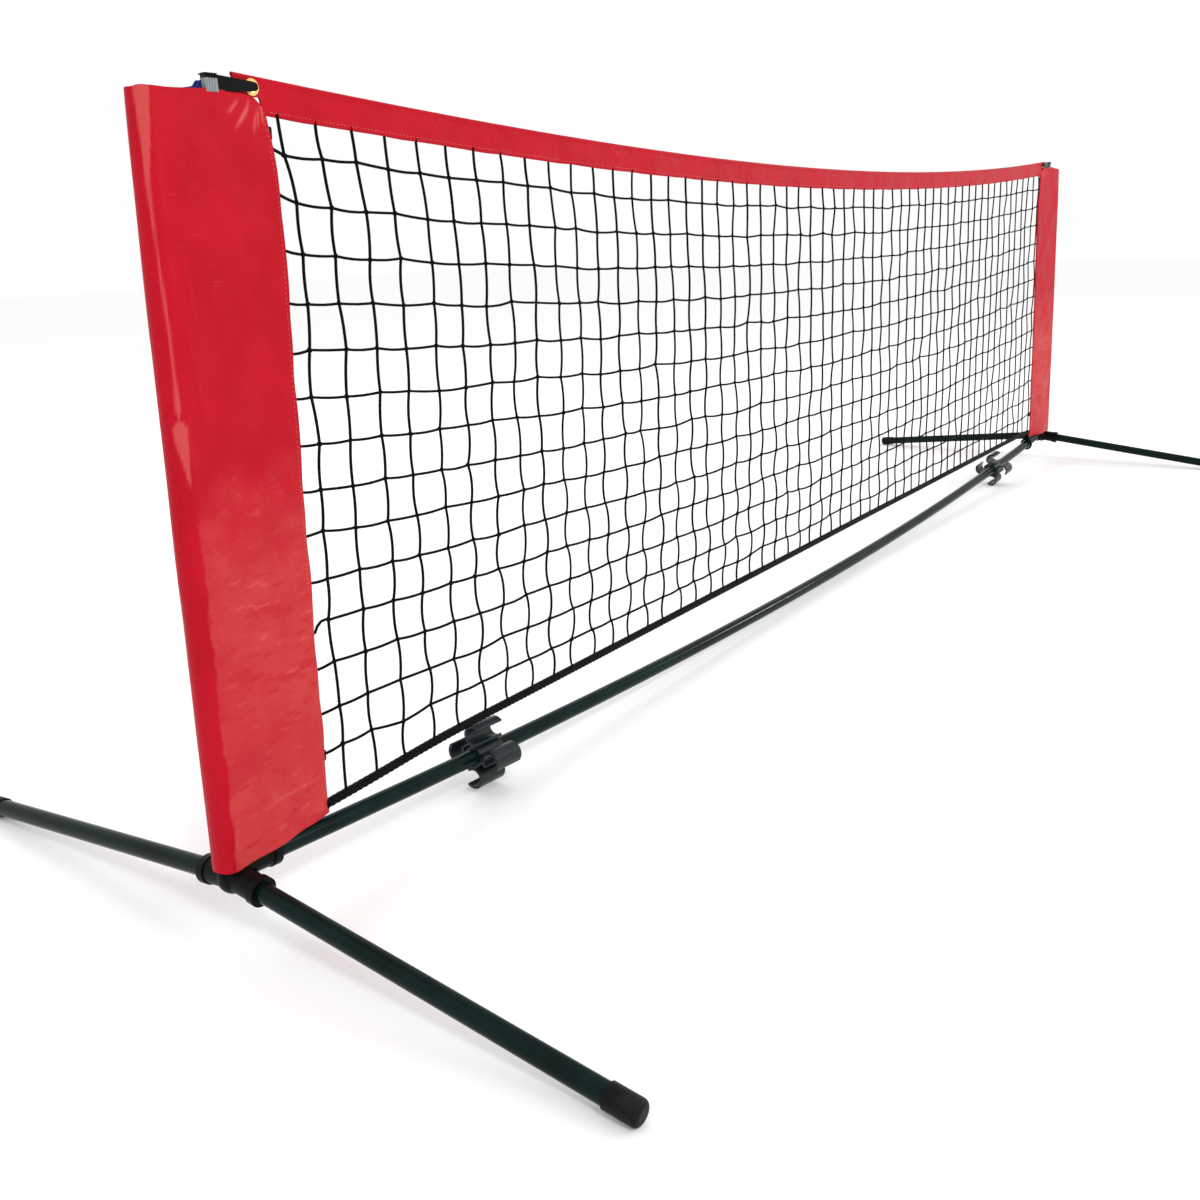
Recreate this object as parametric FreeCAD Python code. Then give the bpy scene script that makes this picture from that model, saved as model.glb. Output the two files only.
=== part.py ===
import FreeCAD, Part
import math
import os
from FreeCAD import Vector as V, Rotation, Placement

# Mini net on a tube frame.  Millimetres.  X runs along the net, Y across it, Z up from the floor.
# The frame is the same at both ends, so each end piece is built once at the +X end and mirrored.

# ---- tubes -----------------------------------------------------------------------------------
TUBE_R = 11.0            # outer radius of every frame tube
TUBE_WALL = 1.2
FIT = 0.06               # radial clearance of a tube in its socket
HALF_SPAN = 1535.0       # net middle to post axis
POST_LEAN = 0.4          # degrees, the net pulls each post inwards
POST_BOTTOM_Z = 62.0
POST_TOP_Z = 885.0

# ---- legs ------------------------------------------------------------------------------------
LEG_TILT = 6.2           # degrees below level
FOOT_REACH = 541.0       # along the leg axis, post axis to the end of the foot cap
FOOT_R = 12.75
FOOT_LENGTH = 37.0
FOOT_ROUND = 6.0
FOOT_END_WALL = 4.5
SOCKET_START = 16.5      # tube ends stop this far from the post axis
LEG_AXIS_Z = ((FOOT_REACH - FOOT_ROUND) * math.sin(math.radians(LEG_TILT))
              + (FOOT_R - FOOT_ROUND) * math.cos(math.radians(LEG_TILT)) + FOOT_ROUND)

# ---- hub -------------------------------------------------------------------------------------
HUB_R = 15.0
HUB_COLLAR_R = 16.6
HUB_COLLAR_LENGTH = 10.0
HUB_BALL_R = 19.0
LEG_SOCKET_REACH = 48.0
BAR_SOCKET_REACH = 54.0
POST_SOCKET_TOP_Z = 132.0
HUB_WEB = 7.0            # thickness of the gussets between sockets
HUB_WEB_REACH = 34.0

# ---- bottom bar: an arc that hangs lowest at mid-span ------------------------------------------
BAR_HUB_Z = 76.0
BAR_MID_Z = 19.0
BAR_END_X = HALF_SPAN - SOCKET_START
BAR_ARC_X = 1480.0
BAR_ARC_R = (BAR_ARC_X ** 2 + (BAR_HUB_Z - BAR_MID_Z) ** 2) / (2 * (BAR_HUB_Z - BAR_MID_Z))
BAR_SEAM_X = 240.0
BAR_SEAM_GAP = 0.4
SPIGOT_LENGTH = 60.0
SPIGOT_R = TUBE_R - TUBE_WALL - 0.05

# ---- storage clips ---------------------------------------------------------------------------
CLIP_X = (-1128.0, 1062.0)
CLIP_LENGTH = 48.0
CLIP_PITCH_R = 30.2      # bar axis to each hook's axis
CLIP_HOOK_R = 11.15      # inner radius of a hook
CLIP_WALL = 4.0
CLIP_MOUTH = 105.0       # degrees left open in each hook
CLIP_MOUTH_TURN = 90.0   # how far each mouth is turned off the outward direction
CLIP_COLLAR_R = 14.8
CLIP_WEB = 7.0           # thickness of the stem under each hook

# ---- net -------------------------------------------------------------------------------------
BAND_END_X = 1427.0      # end of the headband's eyelet tab
BAND_HEIGHT = 37.0
BAND_MID_Z = 848.5       # top edge at mid-span
BAND_RISE = 60.5         # top edge, mid-span to end
BAND_THICK = 3.0
NET_END_X = 1388.0
NET_THICK = 2.0
CORD_Z = 106.0
CORD_R = 6.0
LASHING_R = 3.5          # thinner cord that lashes the far end to the bar
CORD_TURN_X = 1350.0     # where the far end of the cord turns down to the bar
CORD_TURN_R = 22.0
CORD_TURN = 80.0         # degrees
CORD_LOOP_X = 1372.0
KNOT_R = 7.0

# ---- side sleeves ----------------------------------------------------------------------------
SLEEVE_Z = (85.0, 886.0)
SLEEVE_CLOTH = 1.2
SLEEVE_INNER_X = 1392.0
SLEEVE_POST_R = (18.2, 15.4)      # outer radius round the post, bottom and top
SLEEVE_HUB_R = (18.1, 11.2)       # half width where the hub's bar socket ends, bottom and top
SLEEVE_HUB_X = 1486.0
SLEEVE_EDGE_R = 2.4
SLEEVE_SLACK = 4.5       # loose cloth beyond the post

# ---- tension strap and hook ------------------------------------------------------------------
EYELET_X = 1405.0
EYELET_Z = 896.0
EYELET_R = 8.5
EYELET_HOLE_R = 5.2
HOOK_Y = -5.0
HOOK_BLOCK_X = (1450.0, 1464.0)
HOOK_HEIGHT = 16.0
HOOK_BAR_X = 1460.0      # bar that the webbing goes round, behind the block
HOOK_BAR_Y = 2.9
HOOK_BAR_R = 1.2
HOOK_LUG = 1.4           # thickness of the lugs that hold the bar
STRAP_THICK = 1.5
STRAP_POST_Z = (861.5, 881.5)      # lower and upper edge at the post
STRAP_HOOK_Z = (889.2, 902.8)      # and at the hook

SIDES = {"left": -1, "right": 1}


def cylinder(radius, length, base, direction):
    return Part.makeCylinder(radius, length, base, direction)


def box(x0, x1, y0, y1, z0, z1):
    return Part.makeBox(x1 - x0, y1 - y0, z1 - z0, V(x0, y0, z0))


def fuse(shapes):
    return shapes[0].multiFuse(shapes[1:]).removeSplitter()


def plate_xz(points, y0, y1):
    """Flat plate with its outline in the XZ plane."""
    face = Part.Face(Part.makePolygon([V(x, y0, z) for x, z in points + points[:1]]))
    return face.extrude(V(0, y1 - y0, 0))


def to_side(shape, side):
    """End pieces are drawn at +X; the left end is their mirror image."""
    return shape if side > 0 else shape.mirror(V(0, 0, 0), V(1, 0, 0))


def lean(shape):
    """Tips a post-axis piece inwards about the hub."""
    turned = shape.copy()
    turned.rotate(V(HALF_SPAN, 0, LEG_AXIS_Z), V(0, 1, 0), -POST_LEAN)
    return turned


def bar_z(x):
    return BAR_MID_Z + BAR_ARC_R - math.sqrt(BAR_ARC_R ** 2 - x ** 2)


def bar_direction(x):
    """Unit tangent of the bar's arc, pointing towards +X."""
    slope = x / math.sqrt(BAR_ARC_R ** 2 - x ** 2)
    return V(1, 0, slope).normalize()


def bar_rod(radius, x0, x1):
    """Round rod that follows the bar's arc between two X positions."""
    middle = (x0 + x1) / 2
    arc = Part.Arc(V(x0, 0, bar_z(x0)), V(middle, 0, bar_z(middle)), V(x1, 0, bar_z(x1)))
    ring = Part.Wire(Part.makeCircle(radius, V(x0, 0, bar_z(x0)), bar_direction(x0)))
    return Part.Wire(arc.toShape()).makePipeShell([ring], True, False)


def leg_direction(front):
    tilt = math.radians(LEG_TILT)
    return V(0, -math.cos(tilt) if front else math.cos(tilt), -math.sin(tilt))


def leg_origin():
    return V(HALF_SPAN, 0, LEG_AXIS_Z)


def along_leg(front, distance):
    return leg_origin() + leg_direction(front) * distance


# ---- frame -----------------------------------------------------------------------------------
def hub():
    """Moulded four-way fitting: two leg sockets, one bar socket, one post socket."""
    origin = leg_origin()
    parts = [Part.makeSphere(HUB_BALL_R, origin)]
    post_axis = V(0, 0, 1)
    parts.append(lean(cylinder(HUB_R, POST_SOCKET_TOP_Z - LEG_AXIS_Z, origin, post_axis)))
    for front in (True, False):
        way = leg_direction(front)
        parts.append(cylinder(HUB_R, LEG_SOCKET_REACH, origin, way))
        parts.append(cylinder(HUB_COLLAR_R, HUB_COLLAR_LENGTH,
                              along_leg(front, LEG_SOCKET_REACH - HUB_COLLAR_LENGTH), way))
    bar_mouth = HALF_SPAN - BAR_SOCKET_REACH
    parts.append(bar_rod(HUB_R, bar_mouth, HALF_SPAN))
    parts.append(bar_rod(HUB_COLLAR_R, bar_mouth, bar_mouth + HUB_COLLAR_LENGTH))
    parts += hub_webs()
    body = fuse(parts)
    bores = [lean(cylinder(TUBE_R + FIT, 200, V(HALF_SPAN, 0, POST_BOTTOM_Z), post_axis)),
             bar_rod(TUBE_R + FIT, bar_mouth - 5, BAR_END_X)]
    bores += [cylinder(TUBE_R + FIT, 200, along_leg(front, SOCKET_START), leg_direction(front))
              for front in (True, False)]
    for bore in bores:
        body = body.cut(bore)
    return body


def hub_webs():
    """Gussets that fill the corners between neighbouring sockets."""
    x, z, reach, half = HALF_SPAN, LEG_AXIS_Z, HUB_WEB_REACH, HUB_WEB / 2
    webs = []
    for way in (-1, 1):
        corner = [V(x, 0, z), V(x, way * reach, z), V(x - reach, 0, z)]
        face = Part.Face(Part.makePolygon(corner + corner[:1]))
        webs.append(face.extrude(V(0, 0, half * 2)).translated(V(0, 0, -half)))
    corner = [V(x, -half, z), V(x - reach, -half, z), V(x, -half, z + reach)]
    face = Part.Face(Part.makePolygon(corner + corner[:1]))
    webs.append(face.extrude(V(0, half * 2, 0)))
    return webs


def post():
    base = V(HALF_SPAN, 0, POST_BOTTOM_Z)
    length = POST_TOP_Z - POST_BOTTOM_Z
    tube = cylinder(TUBE_R, length, base, V(0, 0, 1))
    return lean(tube.cut(cylinder(TUBE_R - TUBE_WALL, length, base, V(0, 0, 1))))


def post_cap():
    """Plug in the top of the post, with a thin flange over the tube's rim."""
    top = V(HALF_SPAN, 0, POST_TOP_Z)
    flange = cylinder(TUBE_R + 1.2, 1.6, top, V(0, 0, 1))
    plug = cylinder(TUBE_R - TUBE_WALL - 0.05, 14, top - V(0, 0, 14), V(0, 0, 1))
    rim = [e for e in flange.Edges if abs(e.BoundBox.ZMin - (POST_TOP_Z + 1.6)) < 1e-6
           and abs(e.BoundBox.ZMax - (POST_TOP_Z + 1.6)) < 1e-6]
    return lean(fuse([flange.makeFillet(0.8, rim), plug]))


def leg(front):
    start = along_leg(front, SOCKET_START + 0.3)
    length = FOOT_REACH - FOOT_END_WALL - 0.1 - SOCKET_START - 0.3
    tube = cylinder(TUBE_R, length, start, leg_direction(front))
    return tube.cut(cylinder(TUBE_R - TUBE_WALL, length, start, leg_direction(front)))


def foot_cap(front):
    """Round-ended rubber cap pushed over the end of a leg."""
    way = leg_direction(front)
    tip = along_leg(front, FOOT_REACH)
    cup = cylinder(FOOT_R, FOOT_LENGTH, tip - way * FOOT_LENGTH, way)
    end = [e for e in cup.Edges if isinstance(e.Curve, Part.Circle)
           and (e.Curve.Center - tip).Length < 1e-6]
    cup = cup.makeFillet(FOOT_ROUND, end)
    return cup.cut(cylinder(TUBE_R + 0.02, FOOT_LENGTH - FOOT_END_WALL, tip - way * FOOT_LENGTH, way))


def long_bar():
    x0, x1 = BAR_SEAM_X + BAR_SEAM_GAP, BAR_END_X - 0.4
    return bar_rod(TUBE_R, x0, x1).cut(bar_rod(TUBE_R - TUBE_WALL, x0, x1))


def middle_bar():
    """Short section whose reduced ends plug into the two long ones."""
    full = bar_rod(TUBE_R, -BAR_SEAM_X, BAR_SEAM_X)
    reach = BAR_SEAM_X + SPIGOT_LENGTH
    spigots = bar_rod(SPIGOT_R, -reach, reach)
    return fuse([full, spigots]).cut(bar_rod(SPIGOT_R - TUBE_WALL, -reach, reach))


def storage_clip(x):
    """Collar that turns on the bar, with four snap hooks for the packed tubes."""
    half = CLIP_LENGTH / 2
    outer = CLIP_HOOK_R + CLIP_WALL
    up = V(0, 0, 1)
    start = V(0, 0, -half)
    parts = [cylinder(CLIP_COLLAR_R, CLIP_LENGTH, start, up)]
    cuts = [cylinder(TUBE_R + 0.08, CLIP_LENGTH, start, up)]
    for turn in (0, 90, 180, 270):
        place = Placement(V(), Rotation(V(0, 0, 1), turn))
        centre = place.multVec(V(CLIP_PITCH_R, 0, -half))
        parts.append(cylinder(outer, CLIP_LENGTH, centre, up))
        stem = box(TUBE_R + 1, CLIP_PITCH_R - CLIP_HOOK_R, -CLIP_WEB / 2, CLIP_WEB / 2, -half, half)
        parts.append(stem.transformed(place.toMatrix()))
        cuts.append(cylinder(CLIP_HOOK_R, CLIP_LENGTH, centre, up))
        cuts.append(clip_mouth(half, outer).transformed(place.toMatrix()))
    body = fuse(parts)
    for cut in cuts:
        body = body.cut(cut)
    body = fuse([body] + clip_lips(half))
    body.Placement = Placement(V(x, 0, bar_z(x)), Rotation(V(0, 0, 1), bar_direction(x)))
    return body


def clip_mouth(half, outer):
    """Wedge that opens a hook towards one side, so the four hooks read as a pinwheel."""
    spread = math.radians(CLIP_MOUTH / 2)
    middle = math.radians(CLIP_MOUTH_TURN)
    far = outer * 2
    rays = [V(CLIP_PITCH_R + far * math.cos(a), far * math.sin(a), -half)
            for a in (middle - spread, middle, middle + spread)]
    corner = [V(CLIP_PITCH_R, 0, -half)] + rays
    return Part.Face(Part.makePolygon(corner + corner[:1])).extrude(V(0, 0, 2 * half))


def clip_lips(half):
    """Rounded beads on the two ends of each hook."""
    middle_r = CLIP_HOOK_R + CLIP_WALL / 2 + 0.3
    beads = []
    for turn in (0, 90, 180, 270):
        place = Placement(V(), Rotation(V(0, 0, 1), turn))
        for way in (-1, 1):
            angle = math.radians(CLIP_MOUTH_TURN + way * CLIP_MOUTH / 2)
            point = V(CLIP_PITCH_R + middle_r * math.cos(angle), middle_r * math.sin(angle), -half)
            beads.append(cylinder(CLIP_WALL / 2 + 0.2, 2 * half, place.multVec(point), V(0, 0, 1)))
    return beads


# ---- net -------------------------------------------------------------------------------------
def band_top(x):
    return BAND_MID_Z + BAND_RISE * (x / BAND_END_X) ** 2


def edge_curve(height, x_limit, count=13):
    """Points of a sagging edge, from -x_limit to +x_limit."""
    return [V(-x_limit + 2 * x_limit * i / (count - 1), 0, height(-x_limit + 2 * x_limit * i / (count - 1)))
            for i in range(count)]


def spline(points):
    curve = Part.BSplineCurve()
    curve.interpolate(points)
    return curve.toShape()


def slab(top_edge, bottom_points, thick):
    """Flat cloth slab: a sagging top edge closed by a run of straight or curved edges."""
    face = Part.Face(Part.Wire([top_edge] + bottom_points))
    return face.extrude(V(0, thick, 0)).translated(V(0, -thick / 2, 0))


def headband():
    """Coated-cloth band with a narrower eyelet tab at each end."""
    top = edge_curve(band_top, BAND_END_X)
    low = edge_curve(lambda x: band_top(x) - BAND_HEIGHT, NET_END_X)
    tab_z = SLEEVE_Z[1] + 0.6
    line = Part.makeLine
    right = [top[-1], V(BAND_END_X, 0, tab_z), V(NET_END_X, 0, tab_z), low[-1]]
    left = [V(-p.x, 0, p.z) for p in right]
    edges = [line(a, b) for a, b in zip(right, right[1:])] + [spline(low)]
    edges += [line(a, b) for a, b in zip(left, left[1:])]
    band = slab(spline(top), edges, BAND_THICK)
    for side in SIDES.values():
        band = band.cut(cylinder(EYELET_HOLE_R + 0.8, 10, V(side * EYELET_X, -5, EYELET_Z), V(0, 1, 0)))
    return band


def netting():
    """Stand-in slab for the knotted mesh between headband and bottom cord."""
    top = edge_curve(lambda x: band_top(x) - BAND_HEIGHT - 0.3, NET_END_X)
    floor_z = CORD_Z + CORD_R + 0.3
    corners = [top[-1], V(NET_END_X, 0, floor_z), V(-NET_END_X, 0, floor_z), top[0]]
    return slab(spline(top), [Part.makeLine(a, b) for a, b in zip(corners, corners[1:])], NET_THICK)


def bottom_cord():
    """Cord along the mesh's lower edge: sewn into the left sleeve, tied round the bar at the right."""
    start = V(-SLEEVE_INNER_X + 1, 0, CORD_Z)
    turn = V(CORD_TURN_X, 0, CORD_Z)
    tilt = math.radians(CORD_TURN)
    bend = V(CORD_TURN_X + CORD_TURN_R * math.sin(tilt / 2), 0, CORD_Z - CORD_TURN_R * (1 - math.cos(tilt / 2)))
    down = V(CORD_TURN_X + CORD_TURN_R * math.sin(tilt), 0, CORD_Z - CORD_TURN_R * (1 - math.cos(tilt)))
    loop_centre = V(CORD_LOOP_X, 0, bar_z(CORD_LOOP_X))
    path = Part.Wire([Part.makeLine(start, turn), Part.Arc(turn, bend, down).toShape()])
    ring = Part.Wire(Part.makeCircle(CORD_R, start, V(1, 0, 0)))
    run = path.makePipeShell([ring], True, False)
    knot = Part.makeSphere(KNOT_R, down)
    loop = Part.makeTorus(TUBE_R + 0.2 + LASHING_R, LASHING_R, loop_centre, bar_direction(CORD_LOOP_X))
    return fuse([run, knot, loop])


# ---- side sleeves ----------------------------------------------------------------------------
def sleeve_section(z, post_r, hub_r, edge_r):
    """Plan outline: round the post, over the hub's bar socket, then drawn together towards the net."""
    drop = (z - LEG_AXIS_Z) * math.tan(math.radians(POST_LEAN))
    post_x, edge_x = HALF_SPAN - drop + SLEEVE_SLACK, SLEEVE_INNER_X + SLEEVE_EDGE_R
    a, b = tangent(post_x, post_r, SLEEVE_HUB_X, hub_r, z)
    c, d = tangent(SLEEVE_HUB_X, hub_r, edge_x, edge_r, z)
    half = [a, b, c, d]
    other = [V(p.x, -p.y, z) for p in half]
    return Part.Wire([Part.Arc(a, V(post_x + post_r, 0, z), other[0]).toShape(),
                      Part.makePolygon(other),
                      Part.Arc(other[3], V(edge_x - edge_r, 0, z), d).toShape(),
                      Part.makePolygon(half[::-1])])


def tangent(x0, r0, x1, r1, z):
    """Ends of the straight line that touches two plan circles on their +Y side."""
    turn = math.asin((r0 - r1) / (x0 - x1))
    sine, cosine = math.sin(turn), math.cos(turn)
    return V(x0 - r0 * sine, r0 * cosine, z), V(x1 - r1 * sine, r1 * cosine, z)


def sleeve():
    """Coated-cloth pocket over the post, open at top and bottom."""
    shells = []
    for cloth in (0, SLEEVE_CLOTH):
        ends = [sleeve_section(z, post_r - cloth, hub_r - cloth, SLEEVE_EDGE_R - cloth)
                for z, post_r, hub_r in zip(SLEEVE_Z, SLEEVE_POST_R, SLEEVE_HUB_R)]
        shells.append(Part.makeLoft(ends, True, True))
    return shells[0].cut(shells[1])


def tie(z0, z1):
    """Short tape that ties the mesh to the sleeve's inner edge."""
    return box(SLEEVE_INNER_X - 7.5, SLEEVE_INNER_X - 0.1, NET_THICK / 2 + 0.2, NET_THICK / 2 + 1.8, z0, z1)


# ---- tension strap ---------------------------------------------------------------------------
def eyelet():
    """Brass eyelet in the headband tab: a barrel and two rolled flanges."""
    centre = V(EYELET_X, 0, EYELET_Z)
    way = V(0, 1, 0)
    barrel = cylinder(EYELET_HOLE_R + 0.7, BAND_THICK + 1.6, centre - way * (BAND_THICK / 2 + 0.8), way)
    parts = [barrel]
    for side in (-1, 1):
        y = side * (BAND_THICK / 2 + 0.45)
        parts.append(cylinder(EYELET_R, 0.8, centre + way * (y - 0.4), way))
    return fuse(parts).cut(cylinder(EYELET_HOLE_R, 12, centre - way * 6, way))


def hook():
    """Strap hook: ribbed block, webbing bar behind it, flat tongue and a peg through the eyelet."""
    low, high = EYELET_Z - HOOK_HEIGHT / 2 - 1, EYELET_Z + HOOK_HEIGHT / 2
    x0, x1 = HOOK_BLOCK_X
    block = box(x0, x1, HOOK_Y - 3.5, HOOK_Y + 3.5, low + 0.2, high + 0.8)
    ribs = [box(x0 + 2 + 3 * i, x0 + 3.4 + 3 * i, HOOK_Y - 4.1, HOOK_Y + 3.5, low + 1, high) for i in range(4)]
    nose_r = EYELET_HOLE_R - 0.7
    shoulder = EYELET_X + EYELET_R
    tongue = plate_xz([(EYELET_X, EYELET_Z - nose_r), (shoulder, EYELET_Z - nose_r - 0.8), (x0 + 1, low + 1),
                       (x0 + 1, high), (shoulder, EYELET_Z + nose_r + 0.8), (EYELET_X, EYELET_Z + nose_r)],
                      HOOK_Y - 1.8, HOOK_Y + 1.8)
    nose = cylinder(nose_r, 3.6, V(EYELET_X, HOOK_Y - 1.8, EYELET_Z), V(0, 1, 0))
    peg = cylinder(nose_r, 9.5, V(EYELET_X, HOOK_Y, EYELET_Z), V(0, 1, 0))
    lugs = [box(HOOK_BAR_X - 2.5, HOOK_BAR_X + 2.5, HOOK_Y, HOOK_BAR_Y + HOOK_BAR_R, z, z + HOOK_LUG)
            for z in (low + 0.2, high + 0.8 - HOOK_LUG)]
    bar = cylinder(HOOK_BAR_R, high - low + 0.6, V(HOOK_BAR_X, HOOK_BAR_Y, low + 0.2), V(0, 0, 1))
    return fuse([block, tongue, nose, peg, bar] + ribs + lugs)


def strap():
    """Webbing loop round the post and the bar behind the hook, narrowed where it meets the hook."""
    drop = (POST_TOP_Z - LEG_AXIS_Z) * math.tan(math.radians(POST_LEAN))
    post_x = HALF_SPAN - drop
    inner = (TUBE_R + 0.45, HOOK_BAR_R + 0.35)
    rings = [strap_outline(post_x, inner[0] + grow, HOOK_BAR_X, inner[1] + grow)
             for grow in (STRAP_THICK, 0)]
    far_x, near_x = post_x + 20, HOOK_BLOCK_X[0] - 2
    low = [(far_x, STRAP_POST_Z[0]), (post_x - 14, STRAP_POST_Z[0]), (HOOK_BLOCK_X[1] + 1, STRAP_HOOK_Z[0]),
           (near_x, STRAP_HOOK_Z[0])]
    high = [(near_x, STRAP_HOOK_Z[1]), (HOOK_BLOCK_X[1] + 1, STRAP_HOOK_Z[1]), (post_x - 14, STRAP_POST_Z[1]),
            (far_x, STRAP_POST_Z[1])]
    return rings[0].cut(rings[1]).common(plate_xz(low + high, -40, 40))


def strap_outline(post_x, post_r, bar_x, bar_r):
    """Tall prism whose plan is a belt run round the post and the hook's bar."""
    centres = [(post_x, 0.0, post_r), (bar_x, HOOK_BAR_Y, bar_r)]
    discs = [cylinder(r, 100, V(x, y, 820), V(0, 0, 1)) for x, y, r in centres]
    (ax, ay, ar), (bx, by, br) = centres
    length = math.hypot(bx - ax, by - ay)
    heading = math.atan2(by - ay, bx - ax)
    spread = math.acos((ar - br) / length)
    points = []
    for way in (1, -1):
        angle = heading + way * spread
        points.append([V(ax + ar * math.cos(angle), ay + ar * math.sin(angle), 820),
                       V(bx + br * math.cos(angle), by + br * math.sin(angle), 820)])
    corners = [points[0][0], points[0][1], points[1][1], points[1][0]]
    belt = Part.Face(Part.makePolygon(corners + corners[:1])).extrude(V(0, 0, 100))
    return fuse(discs + [belt])


def build():
    nodes = {}
    for name, side in SIDES.items():
        end_pieces = {"hub": hub(), "post": post(), "post_cap": post_cap(), "sleeve": sleeve(),
                      "eyelet": eyelet(), "hook": hook(), "strap": strap(), "bar": long_bar(),
                      "tie_upper": tie(846.0, 859.0), "tie_lower": tie(150.0, 163.0)}
        for front, word in ((True, "front"), (False, "rear")):
            end_pieces["leg_" + word] = leg(front)
            end_pieces["foot_" + word] = foot_cap(front)
        for piece, shape in end_pieces.items():
            nodes[piece + "_" + name] = to_side(shape, side)
    nodes["bar_middle"] = middle_bar()
    nodes["clip_left"] = storage_clip(CLIP_X[0])
    nodes["clip_right"] = storage_clip(CLIP_X[1])
    nodes["headband"] = headband()
    nodes["netting"] = netting()
    nodes["bottom_cord"] = bottom_cord()
    return nodes


def main():
    os.makedirs("parts", exist_ok=True)
    for name, shape in build().items():
        solid = shape.Solids[0] if len(shape.Solids) == 1 else shape
        box_ = solid.BoundBox
        print("%-18s solids %d valid %s  x %.1f..%.1f  y %.1f..%.1f  z %.1f..%.1f" % (
            name, len(shape.Solids), solid.isValid(), box_.XMin, box_.XMax,
            box_.YMin, box_.YMax, box_.ZMin, box_.ZMax))
        solid.exportStep("parts/%s.step" % name)


main()
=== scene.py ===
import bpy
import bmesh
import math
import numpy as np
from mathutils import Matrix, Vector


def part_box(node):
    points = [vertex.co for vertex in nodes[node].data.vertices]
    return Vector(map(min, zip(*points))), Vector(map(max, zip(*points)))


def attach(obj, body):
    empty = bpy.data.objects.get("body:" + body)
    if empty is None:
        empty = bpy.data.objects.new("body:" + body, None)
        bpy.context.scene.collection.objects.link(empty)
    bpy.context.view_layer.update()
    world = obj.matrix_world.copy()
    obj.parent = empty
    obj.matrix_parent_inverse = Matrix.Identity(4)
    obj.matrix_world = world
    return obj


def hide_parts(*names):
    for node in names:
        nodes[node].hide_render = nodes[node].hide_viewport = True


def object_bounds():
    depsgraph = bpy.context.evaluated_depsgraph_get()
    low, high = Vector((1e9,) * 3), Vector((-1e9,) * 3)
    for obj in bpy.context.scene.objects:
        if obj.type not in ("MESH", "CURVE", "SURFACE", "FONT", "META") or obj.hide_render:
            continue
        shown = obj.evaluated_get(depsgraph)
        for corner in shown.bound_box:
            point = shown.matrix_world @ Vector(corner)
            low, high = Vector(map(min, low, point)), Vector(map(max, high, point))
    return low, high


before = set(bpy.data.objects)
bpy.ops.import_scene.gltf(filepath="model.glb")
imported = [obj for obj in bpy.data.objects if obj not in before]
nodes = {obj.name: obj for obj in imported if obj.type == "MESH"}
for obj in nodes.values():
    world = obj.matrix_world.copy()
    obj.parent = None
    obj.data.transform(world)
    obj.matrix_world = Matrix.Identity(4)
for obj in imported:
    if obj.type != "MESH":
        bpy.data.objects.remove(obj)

# %% [markdown]
# # A portable court net, from its tube frame up
# The object is a low net on a take-apart frame: two moulded hubs, four splayed legs, two posts that
# hide in red sleeves, and a bottom bar that bows towards the floor.  Between the posts hang a coated
# headband, a knotted mesh and a bottom cord.  The hard pieces come from CAD as a fixed frame and only
# get finishes here.  The soft pieces are modelled here, because cloth and cord need real slack.

MM = 0.001
cad_box = [list(corner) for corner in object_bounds()]
rng = np.random.default_rng(7)

band_low, band_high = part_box("headband")
mesh_low, mesh_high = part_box("netting")
sleeve_low, sleeve_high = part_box("sleeve_right")
post_low, post_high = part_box("post_right")
print("CAD box", [[round(v, 3) for v in c] for c in cad_box])
print("net spans %.3f m, headband top at its ends %.3f m" % (mesh_high.x - mesh_low.x, band_high.z))

# %% [markdown]
# The camera stands low at the left end and looks down the length of the net, so the near post is large
# and the far one small.  The floor and the sky are plain and pale, and soft lamps give the coated cloth
# a broad sheen.  One smaller lamp stands far down the net, to graze the tubes from a low angle.

# %% Camera, floor and light
def make_camera():
    data = bpy.data.cameras.new("camera")
    data.sensor_width = 36.0
    data.lens = 34.82
    data.shift_x, data.shift_y = -0.0271, -0.0731
    data.clip_end = 60.0
    camera = bpy.data.objects.new("camera", data)
    camera.location = (-2.214857, -1.025004, 0.737473)
    camera.rotation_euler = (1.33577, 0.03365, -0.96674)
    bpy.context.scene.collection.objects.link(camera)
    bpy.context.scene.camera = camera


def plain(name, colour, rough):
    material = bpy.data.materials.new(name)
    material.use_nodes = True
    principled = material.node_tree.nodes["Principled BSDF"]
    principled.inputs["Base Color"].default_value = (*colour, 1)
    principled.inputs["Roughness"].default_value = rough
    return material


def make_floor(height):
    mesh = bpy.data.meshes.new("floor")
    half = 20.0
    mesh.from_pydata([(-half, -half, height), (half, -half, height), (half, half, height),
                      (-half, half, height)], [], [(0, 1, 2, 3)])
    mesh.materials.append(plain("floor_paper", (0.97, 0.97, 0.97), 0.9))
    floor = bpy.data.objects.new("floor", mesh)
    bpy.context.scene.collection.objects.link(floor)


def soft_lamp(name, place, target, size, power):
    data = bpy.data.lights.new(name, "AREA")
    data.shape, data.size, data.energy = "DISK", size, power
    lamp = bpy.data.objects.new(name, data)
    lamp.location = place
    lamp.rotation_euler = (Vector(target) - Vector(place)).to_track_quat("-Z", "Y").to_euler()
    bpy.context.scene.collection.objects.link(lamp)


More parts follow.
